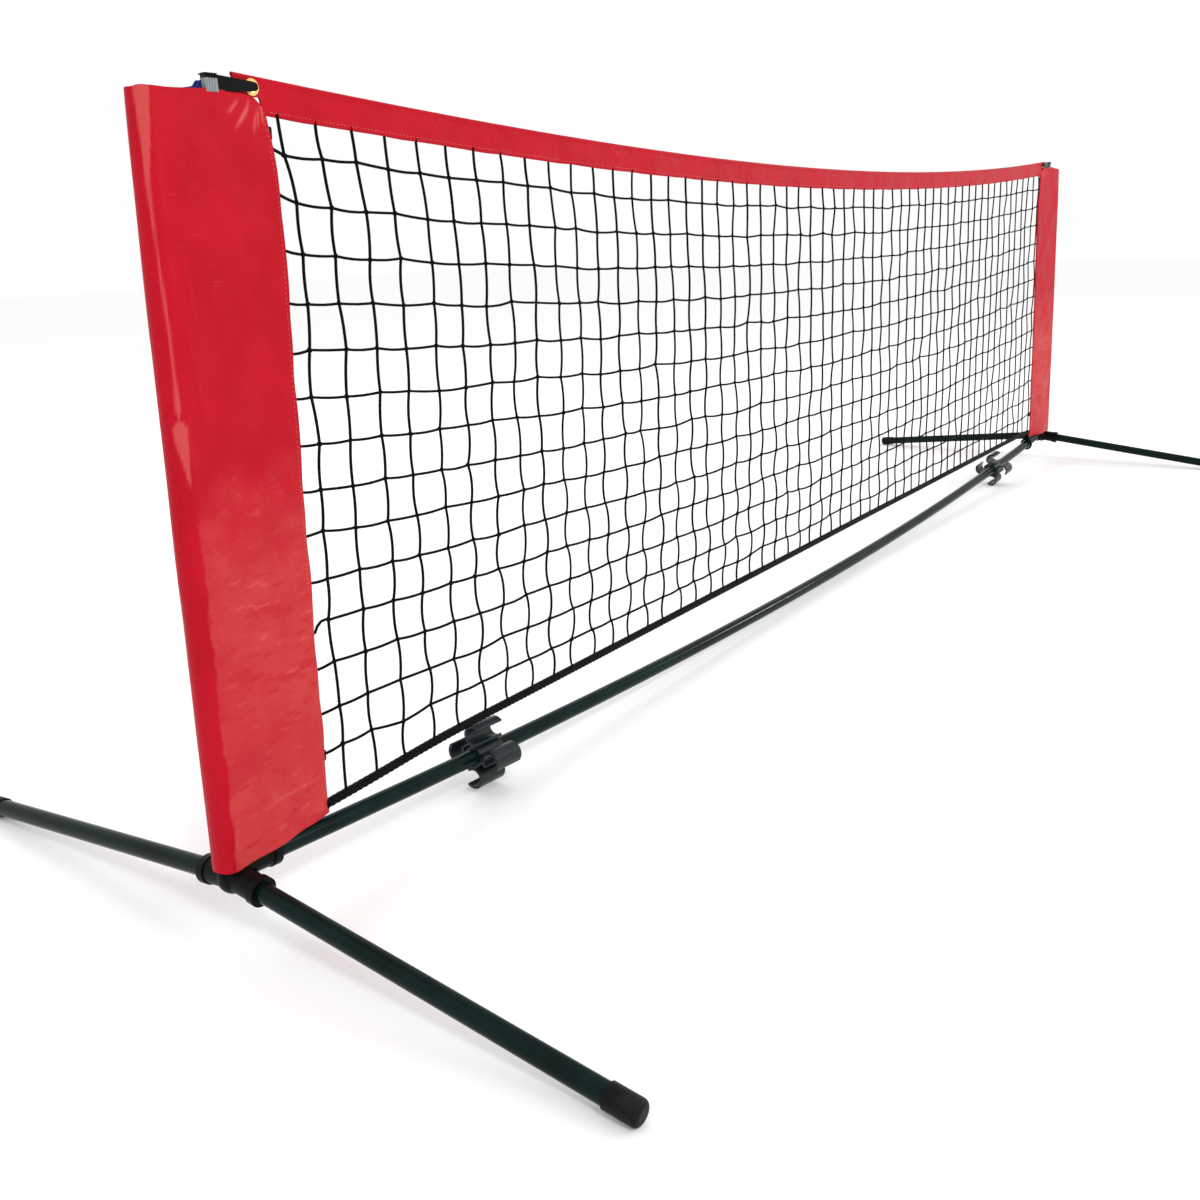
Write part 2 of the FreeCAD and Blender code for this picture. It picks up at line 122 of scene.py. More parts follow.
make_camera()
make_floor(cad_box[0][2] - 0.5 * MM)
world = bpy.data.worlds.new("sky")
world.use_nodes = True
world.node_tree.nodes["Background"].inputs["Color"].default_value = (1.0, 1.0, 1.0, 1)
world.node_tree.nodes["Background"].inputs["Strength"].default_value = 1.0
bpy.context.scene.world = world
bpy.context.scene.view_settings.view_transform = "Standard"
soft_lamp("key", (-3.0, -3.4, 3.6), (-0.8, 0, 0.4), 0.9, 60)
soft_lamp("fill", (1.5, -4.0, 2.6), (0.4, 0, 0.4), 1.3, 34)
soft_lamp("streak", (5.0, -2.6, 2.3), (-0.4, 0, 0.1), 0.55, 34)
soft_lamp("rim", (0.5, 3.8, 3.2), (0, 0, 0.4), 1.4, 34)
print("stage set")

# %% [markdown]
# Every finish below is a small stack: a base colour that drifts a little, a roughness that is never
# quite even, and a bump at the scale of the real surface.  The drifting parts are shared, so they are
# built once as shader node groups and placed in each material with their own values.

# %% Helper: build a shader node group with named sockets
def shader_group(name, inputs, outputs, build):
    group = bpy.data.node_groups.new(name, "ShaderNodeTree")
    for label, kind, value in inputs:
        socket = group.interface.new_socket(label, in_out="INPUT", socket_type="NodeSocket" + kind)
        socket.default_value = value
    for label, kind in outputs:
        group.interface.new_socket(label, in_out="OUTPUT", socket_type="NodeSocket" + kind)
    source = group.nodes.new("NodeGroupInput")
    sink = group.nodes.new("NodeGroupOutput")
    build(group, source, sink)
    return group


def add(tree, kind, **settings):
    """New node; a key that names an input socket sets it, any other key sets a property."""
    node = tree.nodes.new(kind)
    for key, value in settings.items():
        if hasattr(node, key) and key not in node.inputs:
            setattr(node, key, value)
        else:
            node.inputs[key].default_value = value
    return node


def math_node(tree, operation, a, b=None, clamp=False):
    node = add(tree, "ShaderNodeMath", operation=operation, use_clamp=clamp)
    for slot, value in zip((0, 1), (a, b)):
        if value is None:
            continue
        if hasattr(value, "is_output"):
            tree.links.new(value, node.inputs[slot])
        else:
            node.inputs[slot].default_value = value
    return node.outputs[0]


def times(tree, a, b):
    return math_node(tree, "MULTIPLY", a, b)


def opposite(tree, mask):
    """One minus a mask."""
    return math_node(tree, "SUBTRACT", 1.0, mask)


def noise_at(tree, vector, **settings):
    """Value of a noise texture that reads the given vector."""
    node = add(tree, "ShaderNodeTexNoise", **settings)
    tree.links.new(vector, node.inputs["Vector"])
    return node.outputs["Fac"]


def turned(tree, vector, angles, scale):
    """A vector turned and stretched, for patterns that run one way."""
    node = add(tree, "ShaderNodeMapping", Rotation=angles, Scale=scale)
    tree.links.new(vector, node.inputs["Vector"])
    return node.outputs["Vector"]


def ramp(tree, value, low, high):
    """Smooth 0-to-1 step between two values."""
    node = add(tree, "ShaderNodeMapRange", interpolation_type="SMOOTHSTEP")
    tree.links.new(value, node.inputs["Value"])
    node.inputs["From Min"].default_value = low
    node.inputs["From Max"].default_value = high
    return node.outputs["Result"]


# %% [markdown]
# Mottle is slow colour and gloss drift, grain is the fine pebble of moulded plastic and paint, scuffs
# are the thin bright rubs that handling leaves, and dust lies on what faces up.  All of them read
# Object coordinates, which do not slide when a piece is baked or posed.

# %% Shared effects: mottle, grain, scuffs and dust
def build_mottle(tree, source, sink):
    noise = add(tree, "ShaderNodeTexNoise", Detail=3.0, Roughness=0.55)
    tree.links.new(source.outputs["Vector"], noise.inputs["Vector"])
    tree.links.new(source.outputs["Scale"], noise.inputs["Scale"])
    tree.links.new(ramp(tree, noise.outputs["Fac"], 0.32, 0.68), sink.inputs["Mask"])


def build_grain(tree, source, sink):
    pebble = add(tree, "ShaderNodeTexVoronoi", feature="SMOOTH_F1", Smoothness=0.6)
    fine = add(tree, "ShaderNodeTexNoise", Detail=2.0)
    for node in (pebble, fine):
        tree.links.new(source.outputs["Vector"], node.inputs["Vector"])
        tree.links.new(source.outputs["Scale"], node.inputs["Scale"])
    total = math_node(tree, "ADD", pebble.outputs["Distance"], fine.outputs["Fac"])
    tree.links.new(total, sink.inputs["Height"])


def build_scuffs(tree, source, sink):
    stretch = add(tree, "ShaderNodeMapping", Scale=(1.0, 6.0, 9.0), Rotation=(0.3, 0.2, 0.5))
    rub_and_painted_highlight = add(tree, "ShaderNodeTexNoise", Detail=5.0, Roughness=0.7)
    patch = noise_at(tree, source.outputs["Vector"], Scale=9.0, Detail=1.0)
    tree.links.new(source.outputs["Vector"], stretch.inputs["Vector"])
    tree.links.new(stretch.outputs["Vector"], rub_and_painted_highlight.inputs["Vector"])
    tree.links.new(source.outputs["Scale"], rub_and_painted_highlight.inputs["Scale"])
    lines = ramp(tree, rub_and_painted_highlight.outputs["Fac"], 0.60, 0.72)
    areas = ramp(tree, patch, 0.50, 0.66)
    tree.links.new(times(tree, lines, areas), sink.inputs["Mask"])


def build_dust(tree, source, sink):
    facing = tree.nodes.new("ShaderNodeNewGeometry")
    split = tree.nodes.new("ShaderNodeSeparateXYZ")
    cloud = add(tree, "ShaderNodeTexNoise", Detail=4.0)
    tree.links.new(source.outputs["Vector"], cloud.inputs["Vector"])
    tree.links.new(source.outputs["Scale"], cloud.inputs["Scale"])
    tree.links.new(facing.outputs["Normal"], split.inputs["Vector"])
    upward = ramp(tree, split.outputs["Z"], 0.35, 0.95)
    tree.links.new(math_node(tree, "MULTIPLY", upward, ramp(tree, cloud.outputs["Fac"], 0.4, 0.7)),
                   sink.inputs["Mask"])


PLACE = [("Vector", "Vector", (0, 0, 0)), ("Scale", "Float", 20.0)]
MOTTLE = shader_group("mottle", PLACE, [("Mask", "Float")], build_mottle)
GRAIN = shader_group("grain", PLACE, [("Height", "Float")], build_grain)
SCUFFS = shader_group("scuffs", PLACE, [("Mask", "Float")], build_scuffs)
DUST = shader_group("dust", PLACE, [("Mask", "Float")], build_dust)
print("shared effects:", [g.name for g in (MOTTLE, GRAIN, SCUFFS, DUST)])


# %% [markdown]
# Woven goods need their threads to follow the cloth, so the weave group reads the piece's own UV map,
# which is laid out in metres.  Two crossed waves make the over-and-under of a plain weave.  The same
# group serves the coated cloth and, with fewer threads to the metre, the webbing and the tape.

# %% Shared effect: weave
def build_weave(tree, source, sink):
    split = tree.nodes.new("ShaderNodeSeparateXYZ")
    tree.links.new(source.outputs["Vector"], split.inputs["Vector"])
    waves = []
    for axis in "XY":
        turned = math_node(tree, "MULTIPLY", split.outputs[axis], source.outputs["Threads"])
        waves.append(math_node(tree, "SINE", math_node(tree, "MULTIPLY", turned, 2 * math.pi)))
    crossed = math_node(tree, "MULTIPLY", waves[0], waves[1])
    height = math_node(tree, "MULTIPLY_ADD", crossed, 0.5)
    height.node.inputs[2].default_value = 0.5
    tree.links.new(height, sink.inputs["Height"])


WEAVE = shader_group("weave", [("Vector", "Vector", (0, 0, 0)), ("Threads", "Float", 900.0)],
                     [("Height", "Float")], build_weave)
print("weave group sockets:", [s.name for s in WEAVE.interface.items_tree])


# %% Helper: a finish with drift, grain, scuffs and dust
def place_group(tree, group, vector, scale):
    node = tree.nodes.new("ShaderNodeGroup")
    node.node_tree = group
    tree.links.new(vector, node.inputs["Vector"])
    node.inputs[1].default_value = scale
    return node.outputs[0]


def mix_colour(tree, mask, first, second):
    node = add(tree, "ShaderNodeMix", data_type="RGBA")
    sockets = [s for s in node.inputs if s.type == "RGBA"]
    for socket, value in zip(sockets, (first, second)):
        if hasattr(value, "is_output"):
            tree.links.new(value, socket)
        else:
            socket.default_value = (*value, 1)
    tree.links.new(mask, node.inputs[0])
    return [s for s in node.outputs if s.type == "RGBA"][0]


def bump(tree, height, strength, distance, under=None):
    node = add(tree, "ShaderNodeBump", Strength=strength, Distance=distance)
    tree.links.new(height, node.inputs["Height"])
    if under is not None:
        tree.links.new(under, node.inputs["Normal"])
    return node.outputs["Normal"]


def finish_of(name, dark, light, rough, coords="Object", **shader):
    """Material with its Principled shader, its vector and a mottled base colour and roughness."""
    material = bpy.data.materials.new(name)
    material.use_nodes = True
    tree = material.node_tree
    principled = tree.nodes["Principled BSDF"]
    for key, value in shader.items():
        principled.inputs[key.replace("_", " ")].default_value = value
    vector = tree.nodes.new("ShaderNodeTexCoord").outputs[coords]
    object_vector = tree.nodes.new("ShaderNodeTexCoord").outputs["Object"]
    drift = place_group(tree, MOTTLE, object_vector, 14.0)
    colour = mix_colour(tree, drift, dark, light)
    span = add(tree, "ShaderNodeMapRange")
    tree.links.new(drift, span.inputs["Value"])
    span.inputs["To Min"].default_value = rough[0]
    span.inputs["To Max"].default_value = rough[1]
    tree.links.new(span.outputs["Result"], principled.inputs["Roughness"])
    tree.links.new(colour, principled.inputs["Base Color"])
    return material, tree, principled, vector, object_vector, colour


def moulded(name, dark, light, rough, grain_scale, grain_depth, scuff, dust, **shader):
    """Hard finish: paint, moulded plastic or rubber."""
    material, tree, principled, _, place, colour = finish_of(name, dark, light, rough, **shader)
    rubbed = place_group(tree, SCUFFS, place, 60.0)
    amount = times(tree, rubbed, scuff[1])
    colour = mix_colour(tree, amount, colour, scuff[0])
    settled = times(tree, place_group(tree, DUST, place, 35.0), dust)
    colour = mix_colour(tree, settled, colour, (0.16, 0.155, 0.145))
    tree.links.new(colour, principled.inputs["Base Color"])
    height = place_group(tree, GRAIN, place, grain_scale)
    tree.links.new(bump(tree, height, 0.35, grain_depth), principled.inputs["Normal"])
    return material


# %% [markdown]
# The tubes are powder coated: nearly black with a deep green cast and a thin, crisp highlight, so the
# coat stays smooth and the orange-peel bump is shallow.  Hubs and clips are grained plastic, the clips
# a step greyer.  The foot caps are rubber: dull, soft-edged and the first to show dust.

# %% Finishes of the hard pieces
TUBE_PAINT = moulded("tube_paint", (0.0016, 0.0080, 0.0072), (0.0028, 0.0125, 0.0115), (0.12, 0.19),
                     420.0, 0.00004, ((0.06, 0.09, 0.08), 0.2), 0.01, Coat_Weight=0.03,
                     Coat_Roughness=0.06, Specular_IOR_Level=0.07)
HUB_PLASTIC = moulded("hub_plastic", (0.0014, 0.0020, 0.0021), (0.0032, 0.0042, 0.0044), (0.34, 0.46),
                      900.0, 0.00010, ((0.04, 0.05, 0.05), 0.25), 0.02, Specular_IOR_Level=0.07)
CLIP_PLASTIC = moulded("clip_plastic", (0.0065, 0.0120, 0.0130), (0.0140, 0.0230, 0.0250), (0.26, 0.38),
                       900.0, 0.00010, ((0.10, 0.13, 0.13), 0.3), 0.04, Specular_IOR_Level=0.22)
FOOT_RUBBER = moulded("foot_rubber", (0.0018, 0.0018, 0.0020), (0.0045, 0.0045, 0.0047), (0.40, 0.58),
                      700.0, 0.00016, ((0.04, 0.04, 0.04), 0.35), 0.05, Specular_IOR_Level=0.12)
CAP_PLASTIC = moulded("cap_plastic", (0.002, 0.002, 0.0022), (0.005, 0.005, 0.0052), (0.40, 0.52),
                      900.0, 0.00010, ((0.05, 0.05, 0.05), 0.3), 0.03, Specular_IOR_Level=0.12)
BRASS = moulded("eyelet_brass", (0.46, 0.29, 0.07), (0.72, 0.52, 0.19), (0.18, 0.32),
                600.0, 0.00005, ((0.95, 0.80, 0.50), 0.5), 0.03, Metallic=1.0)
print("hard finishes ready")


# %% [markdown]
# The strap hook is one moulding, but its ribbed webbing block has worn to a pale grey while the tongue
# is still glossy black.  A step on the distance from mid-net splits the two along the moulding, and a
# step on the height keeps the lip above the ribs black.

# %% Finish of the strap hooks
def hook_finish():
    material = moulded("hook_plastic", (0.0012, 0.0013, 0.0015), (0.003, 0.003, 0.0033), (0.12, 0.20),
                       800.0, 0.00005, ((0.06, 0.06, 0.06), 0.25), 0.01, Coat_Weight=0.08,
                       Coat_Roughness=0.06, Specular_IOR_Level=0.08)
    tree = material.node_tree
    principled = tree.nodes["Principled BSDF"]
    split = tree.nodes.new("ShaderNodeSeparateXYZ")
    place = tree.nodes.new("ShaderNodeTexCoord").outputs["Object"]
    tree.links.new(place, split.inputs["Vector"])
    block_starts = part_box("hook_right")[1].x - 14 * MM
    rib_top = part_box("hook_right")[1].z - 5.5 * MM
    outward = math_node(tree, "ABSOLUTE", split.outputs["X"])
    on_block = ramp(tree, outward, block_starts - 0.0004, block_starts + 0.0004)
    below_lip = opposite(tree, ramp(tree, split.outputs["Z"], rib_top, rib_top + 0.0012))
    mask = times(tree, on_block, below_lip)
    under = principled.inputs["Base Color"].links[0].from_socket
    tree.links.new(mix_colour(tree, mask, under, (0.23, 0.26, 0.27)), principled.inputs["Base Color"])
    return material


HOOK_PLASTIC = hook_finish()
FINISH_OF_PART = {"hub": HUB_PLASTIC, "post": TUBE_PAINT, "post_cap": CAP_PLASTIC, "bar": TUBE_PAINT,
                  "leg_front": TUBE_PAINT, "leg_rear": TUBE_PAINT, "foot_front": FOOT_RUBBER,
                  "foot_rear": FOOT_RUBBER, "clip": CLIP_PLASTIC, "eyelet": BRASS, "hook": HOOK_PLASTIC}


def dress(node_name, material):
    """Give a CAD piece its finish."""
    slots = nodes[node_name].data.materials
    slots.clear()
    slots.append(material)


for part, material in FINISH_OF_PART.items():
    for end in ("left", "right"):
        dress(part + "_" + end, material)
dress("bar_middle", TUBE_PAINT)
print("CAD pieces dressed:", 2 * len(FINISH_OF_PART) + 1)

# %% [markdown]
# Red coated cloth is a polyester base with a soft vinyl skin.  It is glossy in broad, crumpled patches
# and shows a faint thread grid through the skin.  Three bumps do that: large creases, small puckers and
# the woven base, with the skin's sheen from a thin coat.

# %% Finish of the coated cloth
def coated_cloth(name, dark, light):
    material, tree, principled, uv, place, colour = finish_of(
        name, dark, light, (0.34, 0.50), coords="UV", Specular_IOR_Level=0.07, Coat_Weight=0.05,
        Coat_Roughness=0.18)
    worn = times(tree, place_group(tree, SCUFFS, place, 26.0), 0.22)
    colour = mix_colour(tree, worn, colour, (0.56, 0.09, 0.08))
    tree.links.new(colour, principled.inputs["Base Color"])
    crease = noise_at(tree, place, Scale=16.0, Detail=6.0, Roughness=0.62, Distortion=0.8)
    pucker = noise_at(tree, place, Scale=70.0, Detail=3.0, Roughness=0.5)
    normal = bump(tree, crease, 0.35, 0.006)
    normal = bump(tree, pucker, 0.20, 0.0015, normal)
    normal = bump(tree, place_group(tree, WEAVE, uv, 1100.0), 0.10, 0.00012, normal)
    tree.links.new(normal, principled.inputs["Normal"])
    return material


# %% [markdown]
# The sleeves carry painted light.  Their lower half is painted paler, a painted sheen standing for light
# reflected off the cloth, in patches crossed by fine slanting streaks, but the strip bent round the post
# keeps its deep red.  A painted highlight runs down the cloth over the post and glints on the puckers;
# a point attribute on the mesh marks where it is painted.

# %% Painted sheen and painted highlight on the sleeves
SLANT = (0, 0.95, 0)
# painted light on the sleeves: the pale red of the painted sheen, the deep red where it breaks, darker and
# paler streaks in it, and the painted highlight over the post
DEEP_RED, DULL_RED, PAINTED_SHEEN_RED = (0.43, 0.008, 0.018), (0.42, 0.006, 0.016), (0.50, 0.040, 0.040)
PALE_SHEEN_STREAK, PAINTED_HIGHLIGHT_RED = (0.58, 0.10, 0.085), (0.62, 0.115, 0.10)


def painted_sheen_mask(tree, place):
    """Where the painted sheen lies: low on the panel, with a ragged edge, and not round the post."""
    split = tree.nodes.new("ShaderNodeSeparateXYZ")
    tree.links.new(place, split.inputs["Vector"])
    ragged = noise_at(tree, place, Scale=22.0, Detail=5.0, Roughness=0.65)
    cloud = noise_at(tree, place, Scale=7.5, Detail=4.0, Roughness=0.6)
    edge = times(tree, math_node(tree, "SUBTRACT", ragged, 0.5), 0.26)
    height = math_node(tree, "ADD", split.outputs["Z"], edge)
    low = opposite(tree, ramp(tree, height, 0.34, 0.56))
    across = math_node(tree, "ABSOLUTE", split.outputs["X"])
    across = math_node(tree, "ADD", across, times(tree, edge, 0.09))
    across = math_node(tree, "ADD", across, times(tree, split.outputs["Z"], 0.018))
    panel = opposite(tree, ramp(tree, across, 1.5430, 1.5465))
    patch = math_node(tree, "ADD", times(tree, ramp(tree, cloud, 0.34, 0.62), 0.45), 0.50)
    return times(tree, times(tree, low, panel), patch)


def sleeve_with_painted_light(name, dark, light):
    material = coated_cloth(name, dark, light)
    tree = material.node_tree
    principled = tree.nodes["Principled BSDF"]
    place = tree.nodes.new("ShaderNodeTexCoord").outputs["Object"]
    # painted sheen: the lower panels painted paler, standing for light reflected off the cloth
    painted_sheen = painted_sheen_mask(tree, place)
    fine = turned(tree, place, SLANT, (34.0, 24.0, 110.0))
    painted_streaks = noise_at(tree, fine, Scale=1.0, Detail=4.0, Roughness=0.6)
    broad = turned(tree, place, SLANT, (11.0, 9.0, 34.0))
    slash = noise_at(tree, broad, Scale=1.0, Detail=5.0, Roughness=0.6)
    # gaps and slanting streaks that break up the painted sheen
    kept = times(tree, ramp(tree, slash, 0.52, 0.62), painted_sheen)
    dark_sheen_streak = times(tree, ramp(tree, painted_streaks, 0.56, 0.70), painted_sheen)
    pale_sheen_streak = times(tree, opposite(tree, ramp(tree, painted_streaks, 0.30, 0.42)), painted_sheen)
    # painted highlight down the cloth over the post, and painted glints on the puckers
    painted_highlight = add(tree, "ShaderNodeAttribute", attribute_name="rub_and_painted_highlight").outputs["Fac"]
    colour = principled.inputs["Base Color"].links[0].from_socket
    for mask, over in ((painted_sheen, PAINTED_SHEEN_RED), (times(tree, kept, 0.7), DEEP_RED),
                       (times(tree, dark_sheen_streak, 0.75), DULL_RED), (times(tree, pale_sheen_streak, 0.5), PALE_SHEEN_STREAK),
                       (painted_highlight, PAINTED_HIGHLIGHT_RED)):
        colour = mix_colour(tree, mask, colour, over)
    tree.links.new(colour, principled.inputs["Base Color"])
    return material


RED_CLOTH = coated_cloth("red_cloth", (0.395, 0.0014, 0.0100), (0.445, 0.0024, 0.0140))
SLEEVE_CLOTH = sleeve_with_painted_light("sleeve_cloth", (0.395, 0.0014, 0.0100), (0.445, 0.0024, 0.0140))
print("coated cloth ready")


# %% [markdown]
# Cord and thread are black nylon: slightly fuzzy, with a wound surface.  The bottom cord's twist is
# real geometry, so its material only adds fibre.  The webbing is a blue narrow weave with visible ribs,
# and its raised threads are painted lighter as a painted highlight.

# %% Finishes of cord, thread and webbing
def fibre(name, dark, light, rough, threads, depth, **shader):
    material, tree, principled, _, place, _ = finish_of(name, dark, light, rough, **shader)
    strand = noise_at(tree, place, Scale=threads, Detail=3.0, Roughness=0.6)
    tree.links.new(bump(tree, strand, 0.6, depth), principled.inputs["Normal"])
    return material


def webbing(name, dark, light):
    material, tree, principled, uv, _, colour = finish_of(
        name, dark, light, (0.55, 0.72), coords="UV", Sheen_Weight=0.06, Sheen_Roughness=0.4,
        Specular_IOR_Level=0.10)
    threads = place_group(tree, WEAVE, uv, 520.0)
    # painted highlight: the raised threads of the weave are painted lighter
    painted_thread_highlight = mix_colour(tree, times(tree, threads, 0.55), colour, tuple(1.7 * c for c in light))
    tree.links.new(painted_thread_highlight, principled.inputs["Base Color"])
    tree.links.new(bump(tree, threads, 0.7, 0.0004), principled.inputs["Normal"])
    return material


MESH_CORD = fibre("mesh_cord", (0.0010, 0.0010, 0.0010), (0.0030, 0.0030, 0.0030), (0.5, 0.7), 2600.0,
                  0.0003, Specular_IOR_Level=0.05)
EDGE_CORD = fibre("edge_cord", (0.0010, 0.0010, 0.0010), (0.0030, 0.0030, 0.0030), (0.42, 0.6), 1800.0,
                  0.0003, Specular_IOR_Level=0.06)
STITCH_THREAD = fibre("stitch_thread", (0.45, 0.06, 0.06), (0.62, 0.16, 0.13), (0.4, 0.6), 3000.0, 0.0001)
BLUE_WEBBING = webbing("blue_webbing", (0.004, 0.017, 0.100), (0.007, 0.028, 0.150))
TIE_TAPE = webbing("tie_tape", (0.002, 0.002, 0.002), (0.005, 0.005, 0.005))
print("thread finishes ready")

# %% [markdown]
# The headband sags between the posts like a shallow parabola.  Everything that hangs from it needs the
# same curve, so it is written once, from the CAD band's own box: its lowest point is at mid-span.

# %% The sag of the headband
BAND_END = band_high.x
BAND_HEIGHT = 37 * MM
MID_TOP = band_low.z + BAND_HEIGHT
END_TOP = band_high.z
CORD_R = 6 * MM
LASHING_R = 3.5 * MM
CORD_Z = mesh_low.z - 0.3 * MM - CORD_R
EDGE = mesh_high.x


SAG_X = 20 * MM          # the lowest point is not quite at mid-span
RIGHT_DROP = 4 * MM


def band_top(x):
    offset = x - SAG_X
    reach = np.where(offset < 0, BAND_END + SAG_X, BAND_END - SAG_X)
    rise = np.where(offset < 0, END_TOP - MID_TOP, END_TOP - RIGHT_DROP - MID_TOP)
    return MID_TOP + rise * (offset / reach) ** 2


def band_bottom(x):
    return band_top(x) - BAND_HEIGHT


# place along the net, and rise of the cord there in mm
CORD_RUN = ((-1.395, -9.0), (-1.33, -6.5), (-1.25, -2.2), (-1.17, 0.0), (-0.9, -0.3), (-0.6, 0.3),
            (-0.2, -0.4), (0.2, 0.3), (0.6, -0.3), (1.0, 0.2), (1.25, 0.0), (1.34, 0.0))


def cord_height(x):
    """Height of the bottom cord's axis: level, but drawn down into the left sleeve."""
    places, drops = zip(*CORD_RUN)
    return CORD_Z + np.interp(x, places, drops) * MM


def sleeve_edge(z):
    """Distance from mid-net to a sleeve's inner edge, which the net's pull has drawn into a curve."""
    heights = [85, 300, 500, 650, 737, 790, 840, 886]
    edges = [1401, 1396, 1390, 1385, 1382, 1381, 1385, 1392]
    return np.interp(z / MM, heights, edges) * MM


print("headband sag %.1f mm" % (1000 * (END_TOP - MID_TOP)))


# %% Helpers: meshes from grids, and their UV in metres
def new_object(name, mesh):
    piece = bpy.data.objects.new(name, mesh)
    bpy.context.scene.collection.objects.link(piece)
    return piece


def grid_mesh(name, points, uv=None, closed=False):
    """Quad sheet from an (n, m, 3) array of points; closed joins the last column to the first."""
    rows, columns = points.shape[:2]
    mesh = bpy.data.meshes.new(name)
    faces, corners = [], []
    for r in range(rows - 1):
        for c in range(columns if closed else columns - 1):
            d = (c + 1) % columns
            faces.append((r * columns + c, r * columns + d, (r + 1) * columns + d, (r + 1) * columns + c))
            corners.append(((r, c), (r, c + 1), (r + 1, c + 1), (r + 1, c)))
    mesh.from_pydata(points.reshape(-1, 3).tolist(), [], faces)
    if uv is not None:
        layer = mesh.uv_layers.new(name="cloth")
        flat = [uv[r][min(c, uv.shape[1] - 1)] for face in corners for r, c in face]
        layer.data.foreach_set("uv", np.array(flat, float).ravel())
    mesh.polygons.foreach_set("use_smooth", [True] * len(mesh.polygons))
    mesh.update()
    return mesh


def thicken(piece, thickness):
    """Turn a single cloth layer into a closed skin of real thickness, and keep the result."""
    solid = piece.modifiers.new("thickness", "SOLIDIFY")
    solid.thickness = thickness
    solid.offset = 0.0
    solid.use_even_offset = False
    return bake_modifiers(piece)


def bake_modifiers(piece):
    """Replace a piece's mesh by its evaluated mesh and drop the modifiers."""
    graph = bpy.context.evaluated_depsgraph_get()
    graph.update()
    result = bpy.data.meshes.new_from_object(piece.evaluated_get(graph))
    piece.modifiers.clear()
    piece.data = result
    result.name = piece.name
    return piece


def smooth_noise(x, seed, scale, octaves=3):
    """Seeded 1-D noise made of a few sines with fixed random phases."""
    phases = np.random.default_rng(seed).uniform(0, 2 * math.pi, (octaves, 2))
    total = 0.0
    for k in range(octaves):
        total = total + np.sin(x * scale * (1.0 + 0.83 * k) + phases[k, 0]) / (1 + k)
    return total / 1.6


# %% [markdown]
# The mesh is where the slack shows.  The bottom cord is tight and straight while the headband sags, so
# mid-net has less height than cord: the lower cells fold up and their upright strands bow sideways.
# Each strand is laid out as a polyline through its knots, with the spare length turned into bows.

# %% Where the knots lie
COLUMNS = 56
ROWS = 15
CELL = 50 * MM
FIRST = -CELL * (COLUMNS - 1) / 2
FULL_DROP = band_bottom(EDGE) - CORD_Z
TOP_ROW = 36 * MM
CELL_DROP = (FULL_DROP - TOP_ROW) / (ROWS - 1)
WEIGHTS = (np.arange(1, ROWS + 1) / ROWS) ** 2.4
WEIGHTS = WEIGHTS / WEIGHTS.sum()
PULL = np.interp(np.arange(ROWS + 1), [0, 1, 2, 3, 5, 6, 8, 11, 15],
                 [0, 0.3, 0.8, 1.0, 0.95, 0.65, 0.55, 0.3, 0.2])


def knot_table():
    """Knot positions, row by column, and the height each cell has lost; the top row is a short one."""
    knots = np.zeros((ROWS + 1, COLUMNS, 3))
    lost = np.zeros((ROWS, COLUMNS))
    for i in range(COLUMNS):
        x = FIRST + CELL * i
        spare = max(0.0, FULL_DROP - float(band_bottom(x) - CORD_Z))
        lost[:, i] = spare * WEIGHTS
        z = float(band_bottom(x)) + 4 * MM
        for j in range(ROWS + 1):
            pull = 15 * MM * PULL[j]
            shift = pull * math.exp(-(x - FIRST) / 0.55) - 0.6 * pull * math.exp((x + FIRST) / 0.55)
            knots[j, i] = (x + shift, 0, z)
            if j < ROWS:
                z -= (TOP_ROW + 4 * MM if j == 0 else CELL_DROP) - lost[j, i]
        knots[ROWS, i, 2] = cord_height(x)
    wander = rng.normal(0, 1.3 * MM, knots.shape)
    wander[0] = wander[ROWS] = 0
    wander[:, :, 1] *= 1.2
    drift = smooth_noise(np.arange(COLUMNS)[None, :] + 7 * np.arange(ROWS + 1)[:, None], 3, 0.9)
    wander[1:ROWS, :, 2] += 1.1 * MM * drift[1:ROWS]
    return knots + wander, lost


KNOTS, LOST = knot_table()
print("knots:", KNOTS.shape[0] * KNOTS.shape[1], " most height lost in a cell %.1f mm" % (1000 * LOST.max()))


# %% Strands as polylines with their slack
def line_mesh(name, paths):
    """Mesh of bare edges that follow each path in turn."""
    mesh = bpy.data.meshes.new(name)
    vertices, edges = [], []
    for path in paths:
        start = len(vertices)
        vertices += [tuple(p) for p in path]
        edges += [(start + k, start + k + 1) for k in range(len(path) - 1)]
    mesh.from_pydata(vertices, edges, [])
    return mesh


def strand_mesh(paths, knot_flags):
    """The strands' lines, with a mark on each point that gets a knot."""
    mesh = line_mesh("strand_lines", paths)
    attribute = mesh.attributes.new("knot", "FLOAT", "POINT")
    attribute.data.foreach_set("value", [flag for marks in knot_flags for flag in marks])
    return mesh


